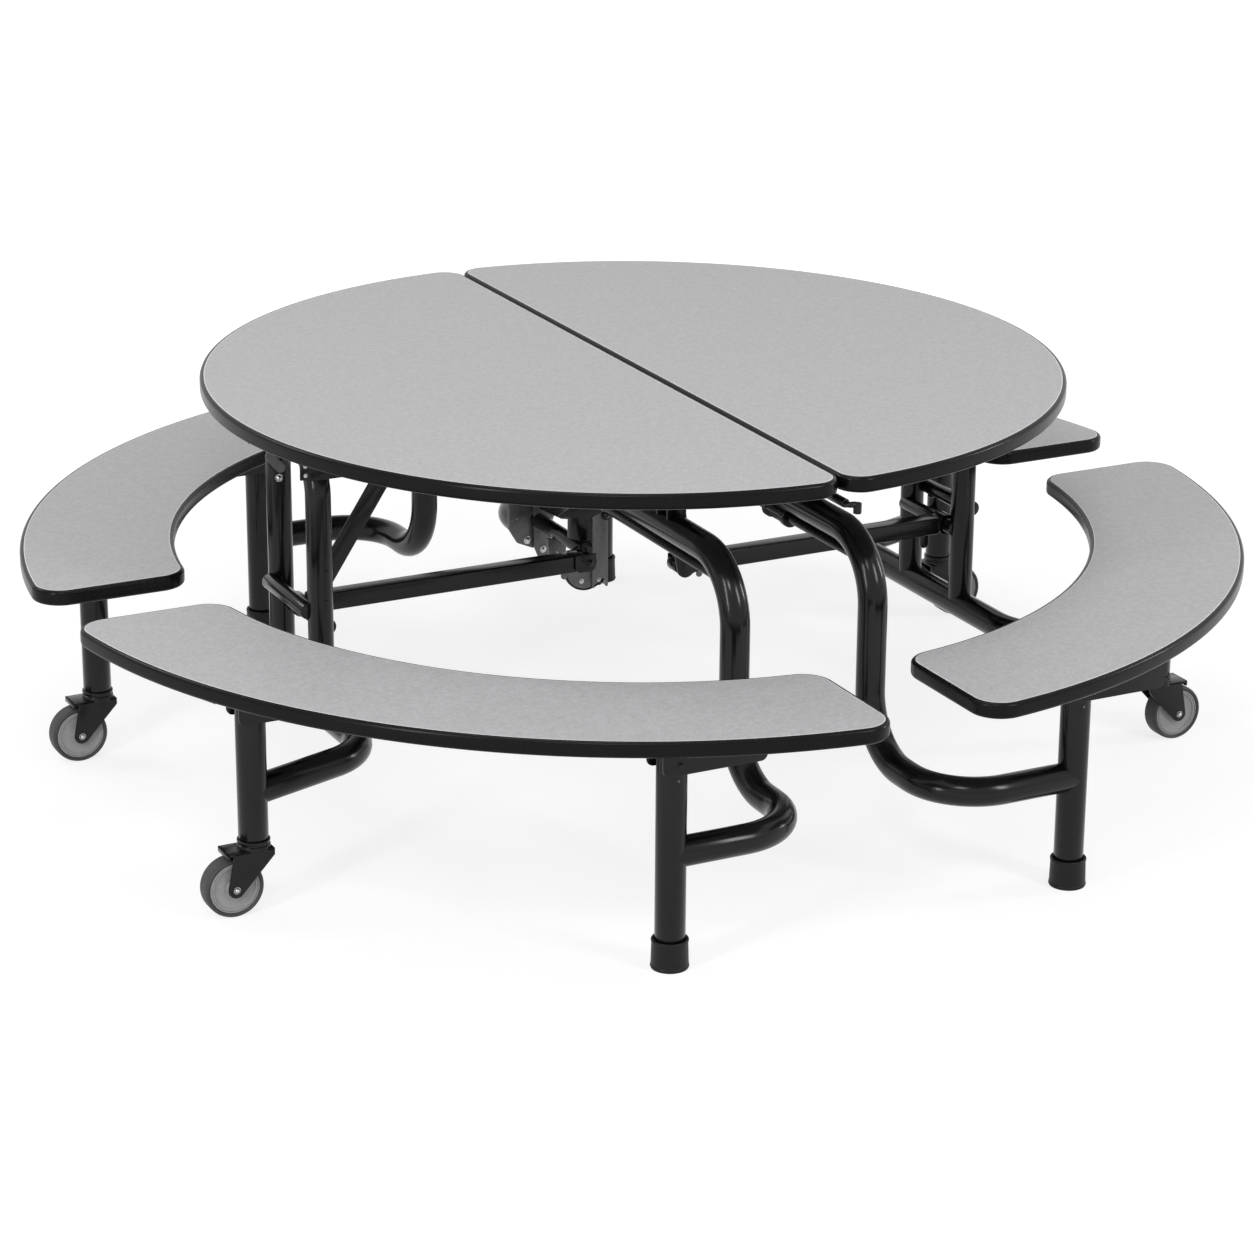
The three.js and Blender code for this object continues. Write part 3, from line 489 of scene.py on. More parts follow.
# %% Post hoops, low rails, S-frames and stiffeners
MAIN = 0.050
POST = 0.044
BEND = 0.110
OUTER_X = 0.640
INNER_X = 0.130
INNER_Y = 0.630
GLIDE = (0.375, 0.880)
CASTER = (0.885, 0.385)
PIVOT_Z = 0.663
RUN_Z = 0.561
RAIL_Z = 0.210
RAIL_LEAN = 0.085
HOOP_Y = 0.090
CROSS = 0.028
S_Z = 0.195
POST_TOP = 0.385
BENCH_PIVOT_Z = 0.355
LINK_Z = 0.358
LINK_X = 0.625
LUG_Y = 0.400
LUG_GAP = 0.0155
LUG = 0.006
LUG_PIN = 0.012
STIFF = 0.020
STIFF_Z = 0.525
Y_AXIS = Vector((0, 1, 0))


def rod(name, base, axis, radius, length, steps=32, eased=0.0008):
    """A turned round bar from a base point along an axis."""
    return turned(name, base, axis, [(0, 0), (radius, 0), (radius, length), (0, length)], steps, eased)


def posts(name, x, y, bottom):
    return [
        tube(f"{name}_{way}", [(-x, way * y, bottom), (-x, way * y, POST_TOP)], 0, MAIN) for way in (-1, 1)
    ]


def hoop():
    sides = [(-OUTER_X, -HOOP_Y, RAIL_Z), (-OUTER_X, -HOOP_Y, PIVOT_Z)]
    corners = sides + [(x, -y, z) for x, y, z in reversed(sides)]
    pieces = [tube("arch", corners, 0.068, POST)]
    for x, z in ((-LINK_X, LINK_Z), (-OUTER_X - 0.022, LINK_Z + 0.034)):
        pieces.append(tube("cross", [(x, -HOOP_Y, z), (x, HOOP_Y, z)], 0, CROSS))
    return unite("post_hoop_tubes_a", pieces)


def low_rail():
    x, y = CASTER
    inner = y - RAIL_LEAN
    corners = [(-x, -y, RAIL_Z), (-OUTER_X, -inner, RAIL_Z), (-OUTER_X, inner, RAIL_Z), (-x, y, RAIL_Z)]
    return unite("low_rail_tubes_a", [tube("rail", corners, BEND, MAIN), *posts("caster_post", x, y, 0.130)])


def lug(y):
    radius = LUG_PIN + 0.0055
    moves = [
        ("to", -INNER_X + radius, PIVOT_Z),
        ("turn", -INNER_X, PIVOT_Z, 180, 20),
        ("to", -INNER_X - radius, RUN_Z),
        ("to", -INNER_X + radius, RUN_Z),
    ]
    return plate("lug", "XZ", -y - LUG, LUG, (-INNER_X + radius, RUN_Z), moves, 0.0008)


def s_frame():
    x, y = GLIDE
    near = [(-x, -y, S_Z), (-INNER_X, -y, S_Z), (-INNER_X, -INNER_Y, S_Z), (-INNER_X, -INNER_Y, RUN_Z)]
    far = [(a, -b, c) for a, b, c in reversed(near)]
    pieces = [tube("s_run", near + far, BEND, MAIN), *posts("glide_post", x, y, 0.0123)]
    for middle in (-LUG_Y, LUG_Y):
        pieces += [lug(middle - LUG_GAP - LUG), lug(middle + LUG_GAP)]
        pieces.append(rod("pin", (-INNER_X, middle - LUG_GAP, PIVOT_Z), Y_AXIS, LUG_PIN, 2 * LUG_GAP))
    return unite("s_frame_tubes_a", pieces)


def stiffener():
    reach = 0.572
    return tube("stiffener_a", [(-INNER_X, -reach, STIFF_Z), (-INNER_X, reach, STIFF_Z)], 0, STIFF, 32)


def sleeve():
    collar = [
        (0.0098, 0), (0.0172, 0), (0.0182, 0.0012), (0.0182, 0.012), (0.0155, 0.014), (0.0155, 0.064),
        (0.0178, 0.066), (0.0178, 0.075), (0.0098, 0.075), (0.0098, 0),
    ]
    return turned("clamp_sleeve_piece", (INNER_X, -0.350, STIFF_Z), Y_AXIS, collar, 40)


# %% Dress both halves with the frames
def dress_both(piece, material, slot, body, *nodes):
    """Dresses a piece of half A, and a copy of it turned round for half B."""
    twin = copy_to(piece, piece.name[:-1] + "b", 180)
    for made, side in ((piece, "a"), (twin, "b")):
        dress(made, material, slot, f"{body}_{side}", *(f"{node}_{side}" for node in nodes))


dress_both(hoop(), POWDER, "black_steel", "outer_frame", "post_hoop")
dress_both(low_rail(), POWDER, "black_steel", "outer_frame", "low_rail")
dress_both(s_frame(), POWDER, "black_steel", "inner_frame", "s_frame")
dress_both(stiffener(), POWDER, "black_steel", "inner_frame", "stiffener_tube")
dress(sleeve(), POWDER, "black_steel", "inner_frame_b")
print("tube frames: hoop, low rail, S-frame and stiffener on each half")

# %% [markdown]
# ## Glide boots
# The four fixed legs end in rubber boots. A boot is a turned cup, so its profile is drawn once and spun.

# %% The four glide boots
boot = turned(
    "glide_boot_front",
    (-GLIDE[0], -GLIDE[1], 0),
    Z_AXIS,
    [
        (0, 0.002), (0.026, 0.002), (0.028, 0), (0.0305, 0.0006), (0.0315, 0.003), (0.0312, 0.0055), (0.0302, 0.0068),
        (0.0306, 0.009), (0.0296, 0.044), (0.0304, 0.0462), (0.0304, 0.0488), (0.0296, 0.05), (0.0268, 0.05),
        (0.0253, 0.0486), (0.0253, 0.0121), (0, 0.0121),
    ],
)
boots = {"front": boot}
boots["left"] = copy_to(boot, "glide_boot_left", move=(0, 2 * GLIDE[1], 0))
boots["back"] = copy_to(boots["front"], "glide_boot_back", 180)
boots["right"] = copy_to(boots["left"], "glide_boot_right", 180)
BOOT_BODY = {"front": "inner_frame_a", "left": "inner_frame_a", "back": "inner_frame_b", "right": "inner_frame_b"}
for place, piece in boots.items():
    dress(piece, RUBBER, "black_rubber", BOOT_BODY[place], f"glide_cap_{place}")
print("glide boots:", len(boots))

# %% [markdown]
# ## Bench brackets
# Under each bench pressed channels straddle the leg posts and turn on bolts through them. A channel is longer
# on one side of its post, where it carries the seat. Its web and two cheeks are drawn as one folded sheet would
# be cut: flat plates with round lower corners. At the caster legs an end plate closes the channel, and a wider
# mounting plate spreads the load under the board.

# %% The bench brackets of half A and their copies
BRACKET_IN = 0.026
BRACKET_OUT = 0.030
CHEEK = 0.004
CHEEK_CORNER = 0.012
BRACKET_TOP = BENCH_UNDER - FIT
BRACKET_DROP = 0.018


def cheek_shape(back, front, bottom, top):
    r = CHEEK_CORNER
    moves = [
        ("to", back, bottom + r),
        ("turn", back + r, bottom + r, 90, 8),
        ("to", front - r, bottom),
        ("turn", front - r, bottom + r, 90, 8),
        ("to", front, top),
        ("to", back, top),
    ]
    return (back, top), moves


def mounting_plate(x, y):
    """A plate under the board, wider than the channel and trimmed to the bench's curve."""
    way = 1 if y > 0 else -1
    inner, outer = abs(y) - 0.04, abs(y) + 0.07
    corners = [(x - 0.127, inner), (x - 0.085, outer), (x + 0.06, outer), (x + 0.06, inner)]
    first = (corners[0][0], way * corners[0][1])
    moves = [("to", u, way * v) for u, v in corners[1:] + corners[:1]]
    return plate("mounting_plate", "XY", BRACKET_TOP - 0.006, 0.006, first, moves, 0.0008)


def bracket(name, x, y, back, front):
    low = BENCH_PIVOT_Z - BRACKET_DROP
    shape = cheek_shape(x - back, x + front, low, BRACKET_TOP)
    near = plate("cheek_near", "XZ", BRACKET_IN - y, CHEEK, *shape, 0.0008)
    far = plate("cheek_far", "XZ", -BRACKET_OUT - y, CHEEK, *shape, 0.0008)
    web = block("web", (x - back, y - BRACKET_OUT, BRACKET_TOP - CHEEK), (x + front, y + BRACKET_OUT, BRACKET_TOP))
    pieces = [web, near, far]
    if "caster" in name:
        back_x = x - back
        foot = BENCH_PIVOT_Z + 0.024
        end = block("end", (back_x, y - BRACKET_IN, foot), (back_x + 0.003, y + BRACKET_IN, BRACKET_TOP))
        pieces += [end, mounting_plate(x, y)]
    return unite(name, pieces)


SPOTS = {
    ("front", "caster"): (-CASTER[0], -CASTER[1], 0.030, 0.130),
    ("front", "glide"): (-GLIDE[0], -GLIDE[1], 0.030, 0.155),
    ("left", "caster"): (-CASTER[0], CASTER[1], 0.030, 0.130),
    ("left", "glide"): (-GLIDE[0], GLIDE[1], 0.155, 0.030),
}
ACROSS = {"front": "back", "left": "right"}
for (place, leg), spot in SPOTS.items():
    piece = bracket(f"bracket_{place}_{leg}", *spot)
    twin = copy_to(piece, f"bracket_{ACROSS[place]}_{leg}", 180)
    dress(piece, POWDER, "black_steel", f"bench_{place}", f"bench_{place}_{leg}_bracket")
    dress(twin, POWDER, "black_steel", f"bench_{ACROSS[place]}", f"bench_{ACROSS[place]}_{leg}_bracket")
print("bench brackets:", 2 * len(SPOTS))

# %% [markdown]
# ## Bolts
# The bench pivots, the legs and the lugs are closed by round bolts: small domes on washers. One profile is spun
# at each place, because a turned head needs no turning to its seat afterwards.

# %% Domed bolts
def dome(at, axis, radius):
    """A domed bolt head on a washer."""
    profile = [(0, 1), (0.45, 0.92), (0.78, 0.66), (0.92, 0.36), (0.92, 0.24), (1.3, 0.2), (1.3, 0), (0, 0)]
    return turned("dome", at, axis, [(r * radius, h * radius) for r, h in profile], 28)


NEAR_WAY = (0, -1, 0)
for body, (x, y) in (("outer_frame", CASTER), ("inner_frame", GLIDE)):
    seats = [(side * y + way * BRACKET_OUT, way) for side in (-1, 1) for way in (-1, 1)]
    bolts = [dome((-x, seat + way * FIT, BENCH_PIVOT_Z), (0, way, 0), 0.0045) for seat, way in seats]
    dress_both(unite(f"pivot_bolts_{body}_a", bolts), POWDER, "black_steel", body)
screw_z, screw_y = 0.326, GLIDE[1] + MAIN / 2 - 0.0036
screws = [dome((-GLIDE[0], way * screw_y, screw_z), (0, way, 0), 0.004) for way in (-1, 1)]
dress_both(unite("post_screws_a", screws), PLATED, "grey_steel", "inner_frame")
lug_ends = [LUG_Y + LUG_GAP + LUG, LUG_Y - LUG_GAP - LUG]
caps = []
for way in (-1, 1):
    caps.append(dome((-INNER_X, way * lug_ends[0], PIVOT_Z), (0, way, 0), 0.009))
    caps.append(dome((-INNER_X, way * lug_ends[1], PIVOT_Z), (0, -way, 0), 0.009))
dress_both(unite("lug_caps_a", caps), PLATED, "grey_steel", "inner_frame")
print("bolts: bench pivots, leg screws and lug caps")

# %% [markdown]
# ## Swivel casters
# A pressed fork turns on a stem in the leg tube, and its collar closes the tube's end. The wheel trails behind
# the stem: a grey plastic hub with a recessed face, and a dark rubber tyre bonded round it. The wheel is turned
# on a lathe in two profiles, and the fork is folded from plates.

# %% Fork, hub and tyre
WHEEL_R = 0.051
TRAIL = 0.040
AXLE_X = -TRAIL


def fork():
    crown_under, crown_top = 0.111, 0.115
    front, back, eye = 0.028, AXLE_X - 0.014, 0.014
    rear_touch, front_touch = 169.2, 316.8
    touch = Matrix.Rotation(math.radians(rear_touch), 2) @ Vector((eye, 0)) + Vector((AXLE_X, WHEEL_R))
    first = (AXLE_X - 0.002, crown_top)
    moves = [
        ("to", *touch),
        ("turn", AXLE_X, WHEEL_R, front_touch - rear_touch, 16),
        ("to", front, crown_under - 0.008),
        ("to", front, crown_top),
        ("to", *first),
    ]
    near = plate("fork_near", "XZ", 0.020, 0.004, first, moves, 0.0009)
    far = plate("fork_far", "XZ", -0.024, 0.004, first, moves, 0.0009)
    crown = block("crown", (back, -0.024, crown_under), (front, 0.024, crown_top), 0.0012)
    lip = block("lip", (back, -0.024, crown_under - 0.006), (back + 0.004, 0.024, crown_top), 0.0012)
    profile = [
        (0, 0), (0.028, 0), (0.028, 0.0075), (0.0274, 0.009), (0.0262, 0.0098), (0.0262, 0.0122), (0.0272, 0.0132),
        (0.0278, 0.0148), (0.0272, 0.0176), (0.0256, 0.0184), (0, 0.0184),
    ]
    collar = turned("collar", (0, 0, crown_under), Z_AXIS, profile)
    axle = rod("axle", (AXLE_X, 0.026, WHEEL_R), NEAR_WAY, 0.005, 0.052, 24, 0)
    return unite("caster_fork", [crown, lip, near, far, collar, axle])


def wheel_profile(points):
    profile = [(r, h) for r, h in points] + [(r, -h) for r, h in reversed(points)]
    return profile + profile[:1]


def hub():
    face = [
        (0.0055, 0.0155), (0.012, 0.0155), (0.0135, 0.0148), (0.0145, 0.0125), (0.033, 0.0120), (0.0352, 0.0126),
        (0.0362, 0.0146), (0.0386, 0.0150), (0.0392, 0.0136), (0.0400, 0.0136), (0.0406, 0.0150), (0.043, 0.0144),
    ]
    return turned("caster_hub", (AXLE_X, 0, WHEEL_R), NEAR_WAY, wheel_profile(face), 64)


def tyre():
    face = [
        (0.0433, 0.0142), (0.0445, 0.0160), (0.0462, 0.0170), (0.0482, 0.0166), (0.0500, 0.0148), (0.0508, 0.0120),
        (0.051, 0.008),
    ]
    return turned("caster_tyre", (AXLE_X, 0, WHEEL_R), NEAR_WAY, wheel_profile(face), 72)


def nuts():
    return unite("caster_nuts", [dome((AXLE_X, way * 0.024, WHEEL_R), (0, way, 0), 0.0046) for way in (-1, 1)])


caster_kit = {
    "fork": (fork(), POWDER, "black_steel", "caster"),
    "hub": (hub(), HUB, "hub_plastic", "wheel"),
    "tyre": (tyre(), TREAD, "tyre_rubber", "wheel"),
    "nuts": (nuts(), ZINC, "grey_steel", "caster"),
}
for kind, (master, material, slot, body) in caster_kit.items():
    for place, way in (("front", -1), ("left", 1)):
        piece = copy_to(master, f"caster_{place}_{kind}_piece", move=(-CASTER[0], way * CASTER[1], 0))
        across = ACROSS[place]
        twin = copy_to(piece, f"caster_{across}_{kind}_piece", 180)
        for spot, made in ((place, piece), (across, twin)):
            nodes = [] if kind == "nuts" else [f"caster_{spot}_{kind}"]
            dress(made, material, slot, f"{body}_{spot}", *nodes)
    bpy.data.objects.remove(master)
print("casters: four of", ", ".join(caster_kit))

# %% [markdown]
# ## Saddles under the tabletop
# The tabletop halves turn on the hoops' top runs and on the S-frames' pins. Each passes through rings on a plate
# screwed to the board. A ring is a tongue-shaped plate with a round hole: its outline is drawn, a Boolean cuts the
# hole, and the edges are eased. The hoop's saddle is a channel with cheeks outside the posts, and a small black stop
# plate is bolted to the end of each cheek.

# %% Rings, saddles and seam brackets
def bored(piece, at, radius, length=0.2):
    """A round hole through a piece, along Y, with the tool taken away afterwards."""
    drill = rod("drill", Vector(at) - Y_AXIS * length / 2, Y_AXIS, radius, length, 48, 0)
    bpy.ops.object.select_all(action="DESELECT")
    piece.select_set(True)
    bpy.context.view_layer.objects.active = piece
    cut = piece.modifiers.new("bore", "BOOLEAN")
    cut.object = drill
    cut.operation = "DIFFERENCE"
    cut.solver = "EXACT"
    bpy.ops.object.modifier_apply(modifier=cut.name)
    bpy.data.objects.remove(drill)
    bpy.ops.object.shade_smooth_by_angle(angle=math.radians(32))
    return piece


PLATE_TOP = TOP_UNDER - FIT
PLATE_UNDER = PLATE_TOP - 0.006


def ring(name, x, z, radius, bore, y0, y1, top):
    moves = [
        ("to", x - radius, z),
        ("turn", x, z, 180, 24),
        ("to", x + radius, top),
        ("to", x - radius, top),
    ]
    ear = plate(name, "XZ", -y1, y1 - y0, (x - radius, top), moves, 0.0012)
    return bored(ear, (x, (y0 + y1) / 2, z), bore)


def saddle(name, x, half_length, tube_radius, ring_y, ring_width):
    reach = ring_y + ring_width / 2
    low, high = (x - half_length, -reach, PLATE_UNDER), (x + half_length, reach, PLATE_TOP)
    pieces = [block("saddle_plate", low, high, 0.0015)]
    for way in (-1, 1):
        y0, y1 = way * ring_y - ring_width / 2, way * ring_y + ring_width / 2
        bore = tube_radius + 0.0005
        pieces.append(ring("ring", x, PIVOT_Z, bore + 0.005, bore, y0, y1, PLATE_UNDER + FIT))
    return unite(name, pieces)


SEAM_X = 0.085
SADDLE_OUT = 0.117
SADDLE_BACK = -OUTER_X - 0.030


def outer_saddle():
    rings = saddle("rings", -OUTER_X, POST / 2 + 0.0055, POST / 2, 0.010, 0.012)
    front = -OUTER_X + 0.080
    shape = cheek_shape(SADDLE_BACK, front, PIVOT_Z - 0.032, PLATE_UNDER + FIT)
    near = plate("cheek_near", "XZ", SADDLE_OUT - CHEEK, CHEEK, *shape, 0.0008)
    far = plate("cheek_far", "XZ", -SADDLE_OUT, CHEEK, *shape, 0.0008)
    web = block("web", (SADDLE_BACK, -SADDLE_OUT, PLATE_UNDER), (front, SADDLE_OUT, PLATE_TOP), 0.0015)
    return unite("outer_saddle_channel_a", [rings, web, near, far])


def seam_bracket():
    pieces = [block("seam_plate", (-0.0992, -0.2787, PLATE_UNDER), (-0.0552, 0.2787, PLATE_TOP), 0.0015)]
    for way in (-1, 1):
        y0, y1 = way * 0.24 - 0.0387, way * 0.24 + 0.0387
        pieces.append(ring("knuckle", -SEAM_X, PIVOT_Z, 0.0135, 0.0075, y0, y1, PLATE_UNDER + FIT))
    return unite("seam_knuckles_a", pieces)


inner_saddle = saddle("inner_saddle_rings_a", -INNER_X, 0.0305, LUG_PIN, LUG_Y, 0.03)
dress_both(outer_saddle(), POWDER, "black_steel", "top", "outer_saddle")
dress_both(inner_saddle, POWDER, "black_steel", "top", "inner_saddle")
dress_both(seam_bracket(), POWDER, "black_steel", "top", "seam_bracket")
print("under the tabletop: outer saddle, inner saddle and seam bracket")

# %% Stop plates and hinge tabs at the hoops
def strap(name, plane, level, thick, first, last, radius):
    """A flat strap with round ends about two points."""
    a, b = Vector(first), Vector(last)
    along = (b - a).normalized()
    side = Vector((along.y, -along.x)) * radius
    moves = [("to", *(b + side)), ("turn", *b, 180, 14), ("to", *(a - side)), ("turn", *a, 180, 14)]
    return plate(name, plane, level, thick, tuple(a + side), moves, 0.0008)


stops, stop_bolts = [], []
for way in (-1, 1):
    y = way * (SADDLE_OUT + 0.0002)
    low, high = sorted((y, y + way * 0.004))
    stops.append(block("stop", (SADDLE_BACK - 0.013, low, PIVOT_Z - 0.027), (SADDLE_BACK + 0.006, high, PIVOT_Z + 0.008)))
    for drop in (0.003, 0.019):
        stop_bolts.append(dome((SADDLE_BACK - 0.004, y + way * 0.004, PIVOT_Z - drop), (0, way, 0), 0.0028))
dress_both(unite("stop_plates_a", stops), POWDER, "black_steel", "top")
dress_both(unite("stop_bolts_a", stop_bolts), ZINC, "grey_steel", "top")
tab = strap("hinge_tab_a", "XZ", -0.068, 0.004, (-0.645, 0.602), (-0.664, 0.626), 0.0085)
dress_both(tab, PLATED, "grey_steel", "outer_frame")
near_face, far_face = -HOOP_Y - POST / 2, HOOP_Y - POST / 2
hinge_bolt = unite("hinge_bolt_a", [dome((-0.648, far_face, 0.584), NEAR_WAY, 0.0055)])
dress_both(hinge_bolt, ZINC, "grey_steel", "outer_frame")
hoop_bolts = [dome((-0.637, near_face, z), NEAR_WAY, 0.003) for z in (0.466, 0.412)]
hoop_bolts.append(dome((-OUTER_X - 0.022, -0.055, LINK_Z + 0.0202), (0, 0, -1), 0.006))
dress_both(unite("hoop_bolts_a", hoop_bolts), POWDER, "black_steel", "outer_frame")
print("hoops: stop plates, hinge tabs and bolts")

# %% [markdown]
# ## Prop braces and link bars
# A flat brace leans from each near post to a pad under the board, which takes the open tabletop's weight. The
# link bars run from the hoops' cross tubes to the hanger and keep the legs upright through the fold. Each ends
# in a clevis of two plates with a black bolt.

# %% Brace, link bar and clevis
def brace():
    foot, reach = 0.410, 0.190
    head_x = -OUTER_X + reach
    half = 0.017 / math.sin(math.atan2(PLATE_TOP - foot, reach))
    moves = [
        ("to", -OUTER_X + half, foot),
        ("to", head_x + half, PLATE_TOP),
        ("to", head_x - half, PLATE_TOP),
        ("to", -OUTER_X - half, foot),
    ]
    flat = plate("brace_flat", "XZ", 0.0627, 0.005, (-OUTER_X - half, foot), moves, 0.001)
    pad = block("brace_pad", (head_x - half, -0.0677, PLATE_TOP - 0.005), (head_x + half, -0.0167, PLATE_TOP))
    return unite("prop_brace_bar_a", [flat, pad])


LINK_END = 0.070
LINK_Y = 0.046
LINK_HALF = 0.016
LINK_NEAR, LINK_FAR = LINK_Y - LINK_HALF, LINK_Y + LINK_HALF


def link_bar():
    low = (-LINK_X + 0.016, LINK_NEAR, LINK_Z - LINK_HALF)
    high = (-LINK_END - 0.012, LINK_FAR, LINK_Z + LINK_HALF)
    pieces = [block("link_box", low, high, 0.003, 4)]
    wide, wall = 2 * LINK_HALF, 0.0045
    for x, bore in ((-LINK_X, 0.0145), (-LINK_END, 0.0105)):
        profile = [(bore, 0), (bore + wall, 0), (bore + wall, wide), (bore, wide), (bore, 0)]
        pieces.append(turned("link_eye", (x, LINK_NEAR, LINK_Z), Y_AXIS, profile, 48, 0.0008))
    return unite("link_bar_tube_a", pieces)


def clevis():
    shape = cheek_shape(-LINK_END - 0.030, -LINK_END + 0.0115, LINK_Z - 0.0165, LINK_Z + 0.0165)
    near = plate("clevis_near", "XZ", -LINK_NEAR + 0.0002, 0.0036, *shape, 0.001)
    far = plate("clevis_far", "XZ", -LINK_FAR - 0.0025, 0.0023, *shape, 0.0008)
    hanging = strap("outer_tab", "XZ", -LINK_Y - 0.003, 0.006, (-0.585, LINK_Z - 0.01), (-0.585, LINK_Z - 0.036), 0.008)
    return unite("clevis_a", [near, far, hanging])


dress_both(brace(), POWDER, "black_steel", "outer_frame", "prop_brace")
dress_both(link_bar(), POWDER, "black_steel", "link_bar", "link_bar")
dress_both(clevis(), POWDER, "black_steel", "link_bar")
clevis_bolts = [
    dome((-LINK_END, LINK_NEAR - 0.0038, LINK_Z), NEAR_WAY, 0.006),
]
dress_both(unite("clevis_bolts_a", clevis_bolts), POWDER, "black_steel", "link_bar")
link_tab = strap("link_tab_a", "XZ", -LINK_Y - 0.002, 0.004, (-0.113, LINK_Z - 0.012), (-0.113, LINK_Z - 0.025), 0.006)
dress_both(link_tab, PLATED, "grey_steel", "link_bar")
print("arms: prop brace, link bar and clevis on each half")

# %% [markdown]
# ## Centre hanger
# Between the two halves hangs a yoke with pins for the tabletop's knuckles. A grey channel with a creased front,
# a bumper roller in its foot and a dished round plate, and a set of lever plates, hang from it and hold the link
# bars' inner ends. A curved shield and a black side plate close the space between them.

# %% Yoke
CHANNEL_X = -0.024
CHANNEL_Y = 0.0777
CHANNEL_TOP = PIVOT_Z - 0.0123
PIN_LENGTH = 0.0428
CHANNEL_PIN = 0.056


def lever_plate(name, y, thick, route):
    moves = [("to", *spot) for spot in route[1:] + route[:1]]
    return plate(name, "XZ", -y, thick, route[0], moves, 0.001)


def yoke():
    pieces = [block("yoke_beam", (-0.05, -0.289, PIVOT_Z - 0.012), (0.05, 0.289, PIVOT_Z + 0.012), 0.002)]
    for way_x in (-1, 1):
        pin_x = way_x * SEAM_X
        for way_y in (-1, 1):
            for y in (way_y * 0.196, way_y * 0.284):
                low, high = sorted((way_x * 0.0497, pin_x))
                pieces.append(block("arm", (low, y - 0.005, PIVOT_Z - 0.0067), (high, y + 0.005, PIVOT_Z + 0.0067)))
                pieces.append(rod("eye", (pin_x, y - 0.005, PIVOT_Z), Y_AXIS, 0.0135, 0.01, 40))
            low, high = sorted((way_y * 0.201, way_y * 0.279))
            pieces.append(rod("pin", (pin_x, low, PIVOT_Z), Y_AXIS, 0.007, high - low, 32, 0))
    top = PIVOT_Z - 0.0117
    moves = [
        ("to", LINK_END - 0.017, LINK_Z),
        ("turn", LINK_END, LINK_Z, 180, 20),
        ("to", 0.036, top),
        ("to", 0.002, top),
    ]
    pieces.append(plate("arm_b", "XZ", 0.072, 0.006, (0.002, top), moves, 0.001))
    pieces.append(rod("link_pin_b", (LINK_END, -0.0723, LINK_Z), Y_AXIS, 0.01, PIN_LENGTH))
    side = [("to", 0.18, 0.394), ("to", 0.2827, 0.386), ("to", 0.2827, 0.652), ("to", 0.0785, 0.652)]
    pieces.append(plate("side_plate", "YZ", -0.0545, 0.004, (0.0785, 0.421), side + [("to", 0.0785, 0.421)], 0.0008))
    pieces.append(dome((-0.0135, CHANNEL_Y + 0.0012, 0.427), NEAR_WAY, 0.0085))
    cover = [(-0.114, 0.404), (-0.036, 0.392), (-0.004, 0.400), (-0.004, 0.462), (-0.052, 0.462)]
    pieces.append(lever_plate("cover", 0.268, 0.006, cover))
    apron = [(-0.112, 0.437), (-0.048, 0.4255), (-0.019, 0.4365), (0.002, 0.4365), (0.002, 0.464), (-0.062, 0.464)]
    pieces.append(lever_plate("apron", 0.0767, 0.006, apron))
    return unite("hanger_yoke_piece", pieces)


dress(yoke(), POWDER, "black_steel", "hanger", "hanger_yoke")
print("hanger: yoke with pins, arm and side plate")

# %% Channel, disc, roller and shield
CHANNEL_FOOT = 0.289
DISC = (-0.05, 0.0832, 0.330)


def channel():
    x0, x1 = CHANNEL_X - 0.016, CHANNEL_X + 0.016
    depth, wall, ridge = 0.034, 0.003, 0.0014
    front, inner, back = CHANNEL_Y + ridge, CHANNEL_Y + wall + ridge, CHANNEL_Y + depth
    route = [
        (CHANNEL_X, CHANNEL_Y), (x1, front), (x1, back), (x1 - wall, back), (x1 - wall, inner), (x0 + wall, inner),
        (x0 + wall, back), (x0, back), (x0, front),
    ]
    moves = [("to", *spot) for spot in route]
    body = plate("channel_body", "XY", CHANNEL_FOOT, CHANNEL_TOP - CHANNEL_FOOT, (x0, front), moves, 0.0006)
    bored(body, (CHANNEL_X, CHANNEL_Y, CHANNEL_FOOT + 0.005), 0.0125, 0.03)
    dish = [(0, 0.0015), (0.026, 0.0015), (0.030, 0), (0.041, 0), (0.041, 0.006), (0, 0.006)]
    disc = turned("disc", DISC, Y_AXIS, dish, 64)
    pin = rod("link_pin_a", (-LINK_END, 0.0295, LINK_Z), Y_AXIS, 0.01, CHANNEL_PIN)
    return unite("hanger_channel_piece", [body, disc, pin])


def disc_rim():
    roll = [
        (0.0405, 0.0004), (0.0425, -0.0014), (0.0442, -0.0006), (0.0446, 0.0012), (0.0446, 0.0056), (0.0438, 0.0066),
        (0.0405, 0.0066), (0.0405, 0.0004),
    ]
    rim = turned("rim", DISC, Y_AXIS, roll, 64)
    wheel = [(0, 0), (0.0085, 0), (0.0105, 0.0015), (0.0105, 0.020), (0.0085, 0.022), (0, 0.022)]
    roller = turned("roller", (CHANNEL_X, CHANNEL_Y + 0.006, CHANNEL_FOOT + 0.012), Y_AXIS, wheel, 40)
    return unite("disc_rim_piece", [rim, roller])


def shield():
    centre, radius, sheet = (-0.040, 0.113), 0.034, 0.002
    u, v = centre
    moves = [
        ("turn", u, v, -90, 16),
        ("to", u - radius + sheet, v),
        ("turn", u, v, 90, 16),
        ("to", u, v - radius),
    ]
    return plate("hanger_shield_piece", "XY", 0.381, 0.078, (u, v - radius), moves, 0.0004)


dress(channel(), PLATED, "grey_steel", "hanger", "hanger_channel")
dress(disc_rim(), POWDER, "black_steel", "hanger")
dress(shield(), POWDER, "black_steel", "hanger")
print("hanger: channel, disc, roller and shield")

# %% Lever plates and cross tube
LEVER_Y = 0.289
TUBE_X, TUBE_Z = -0.0543, 0.364


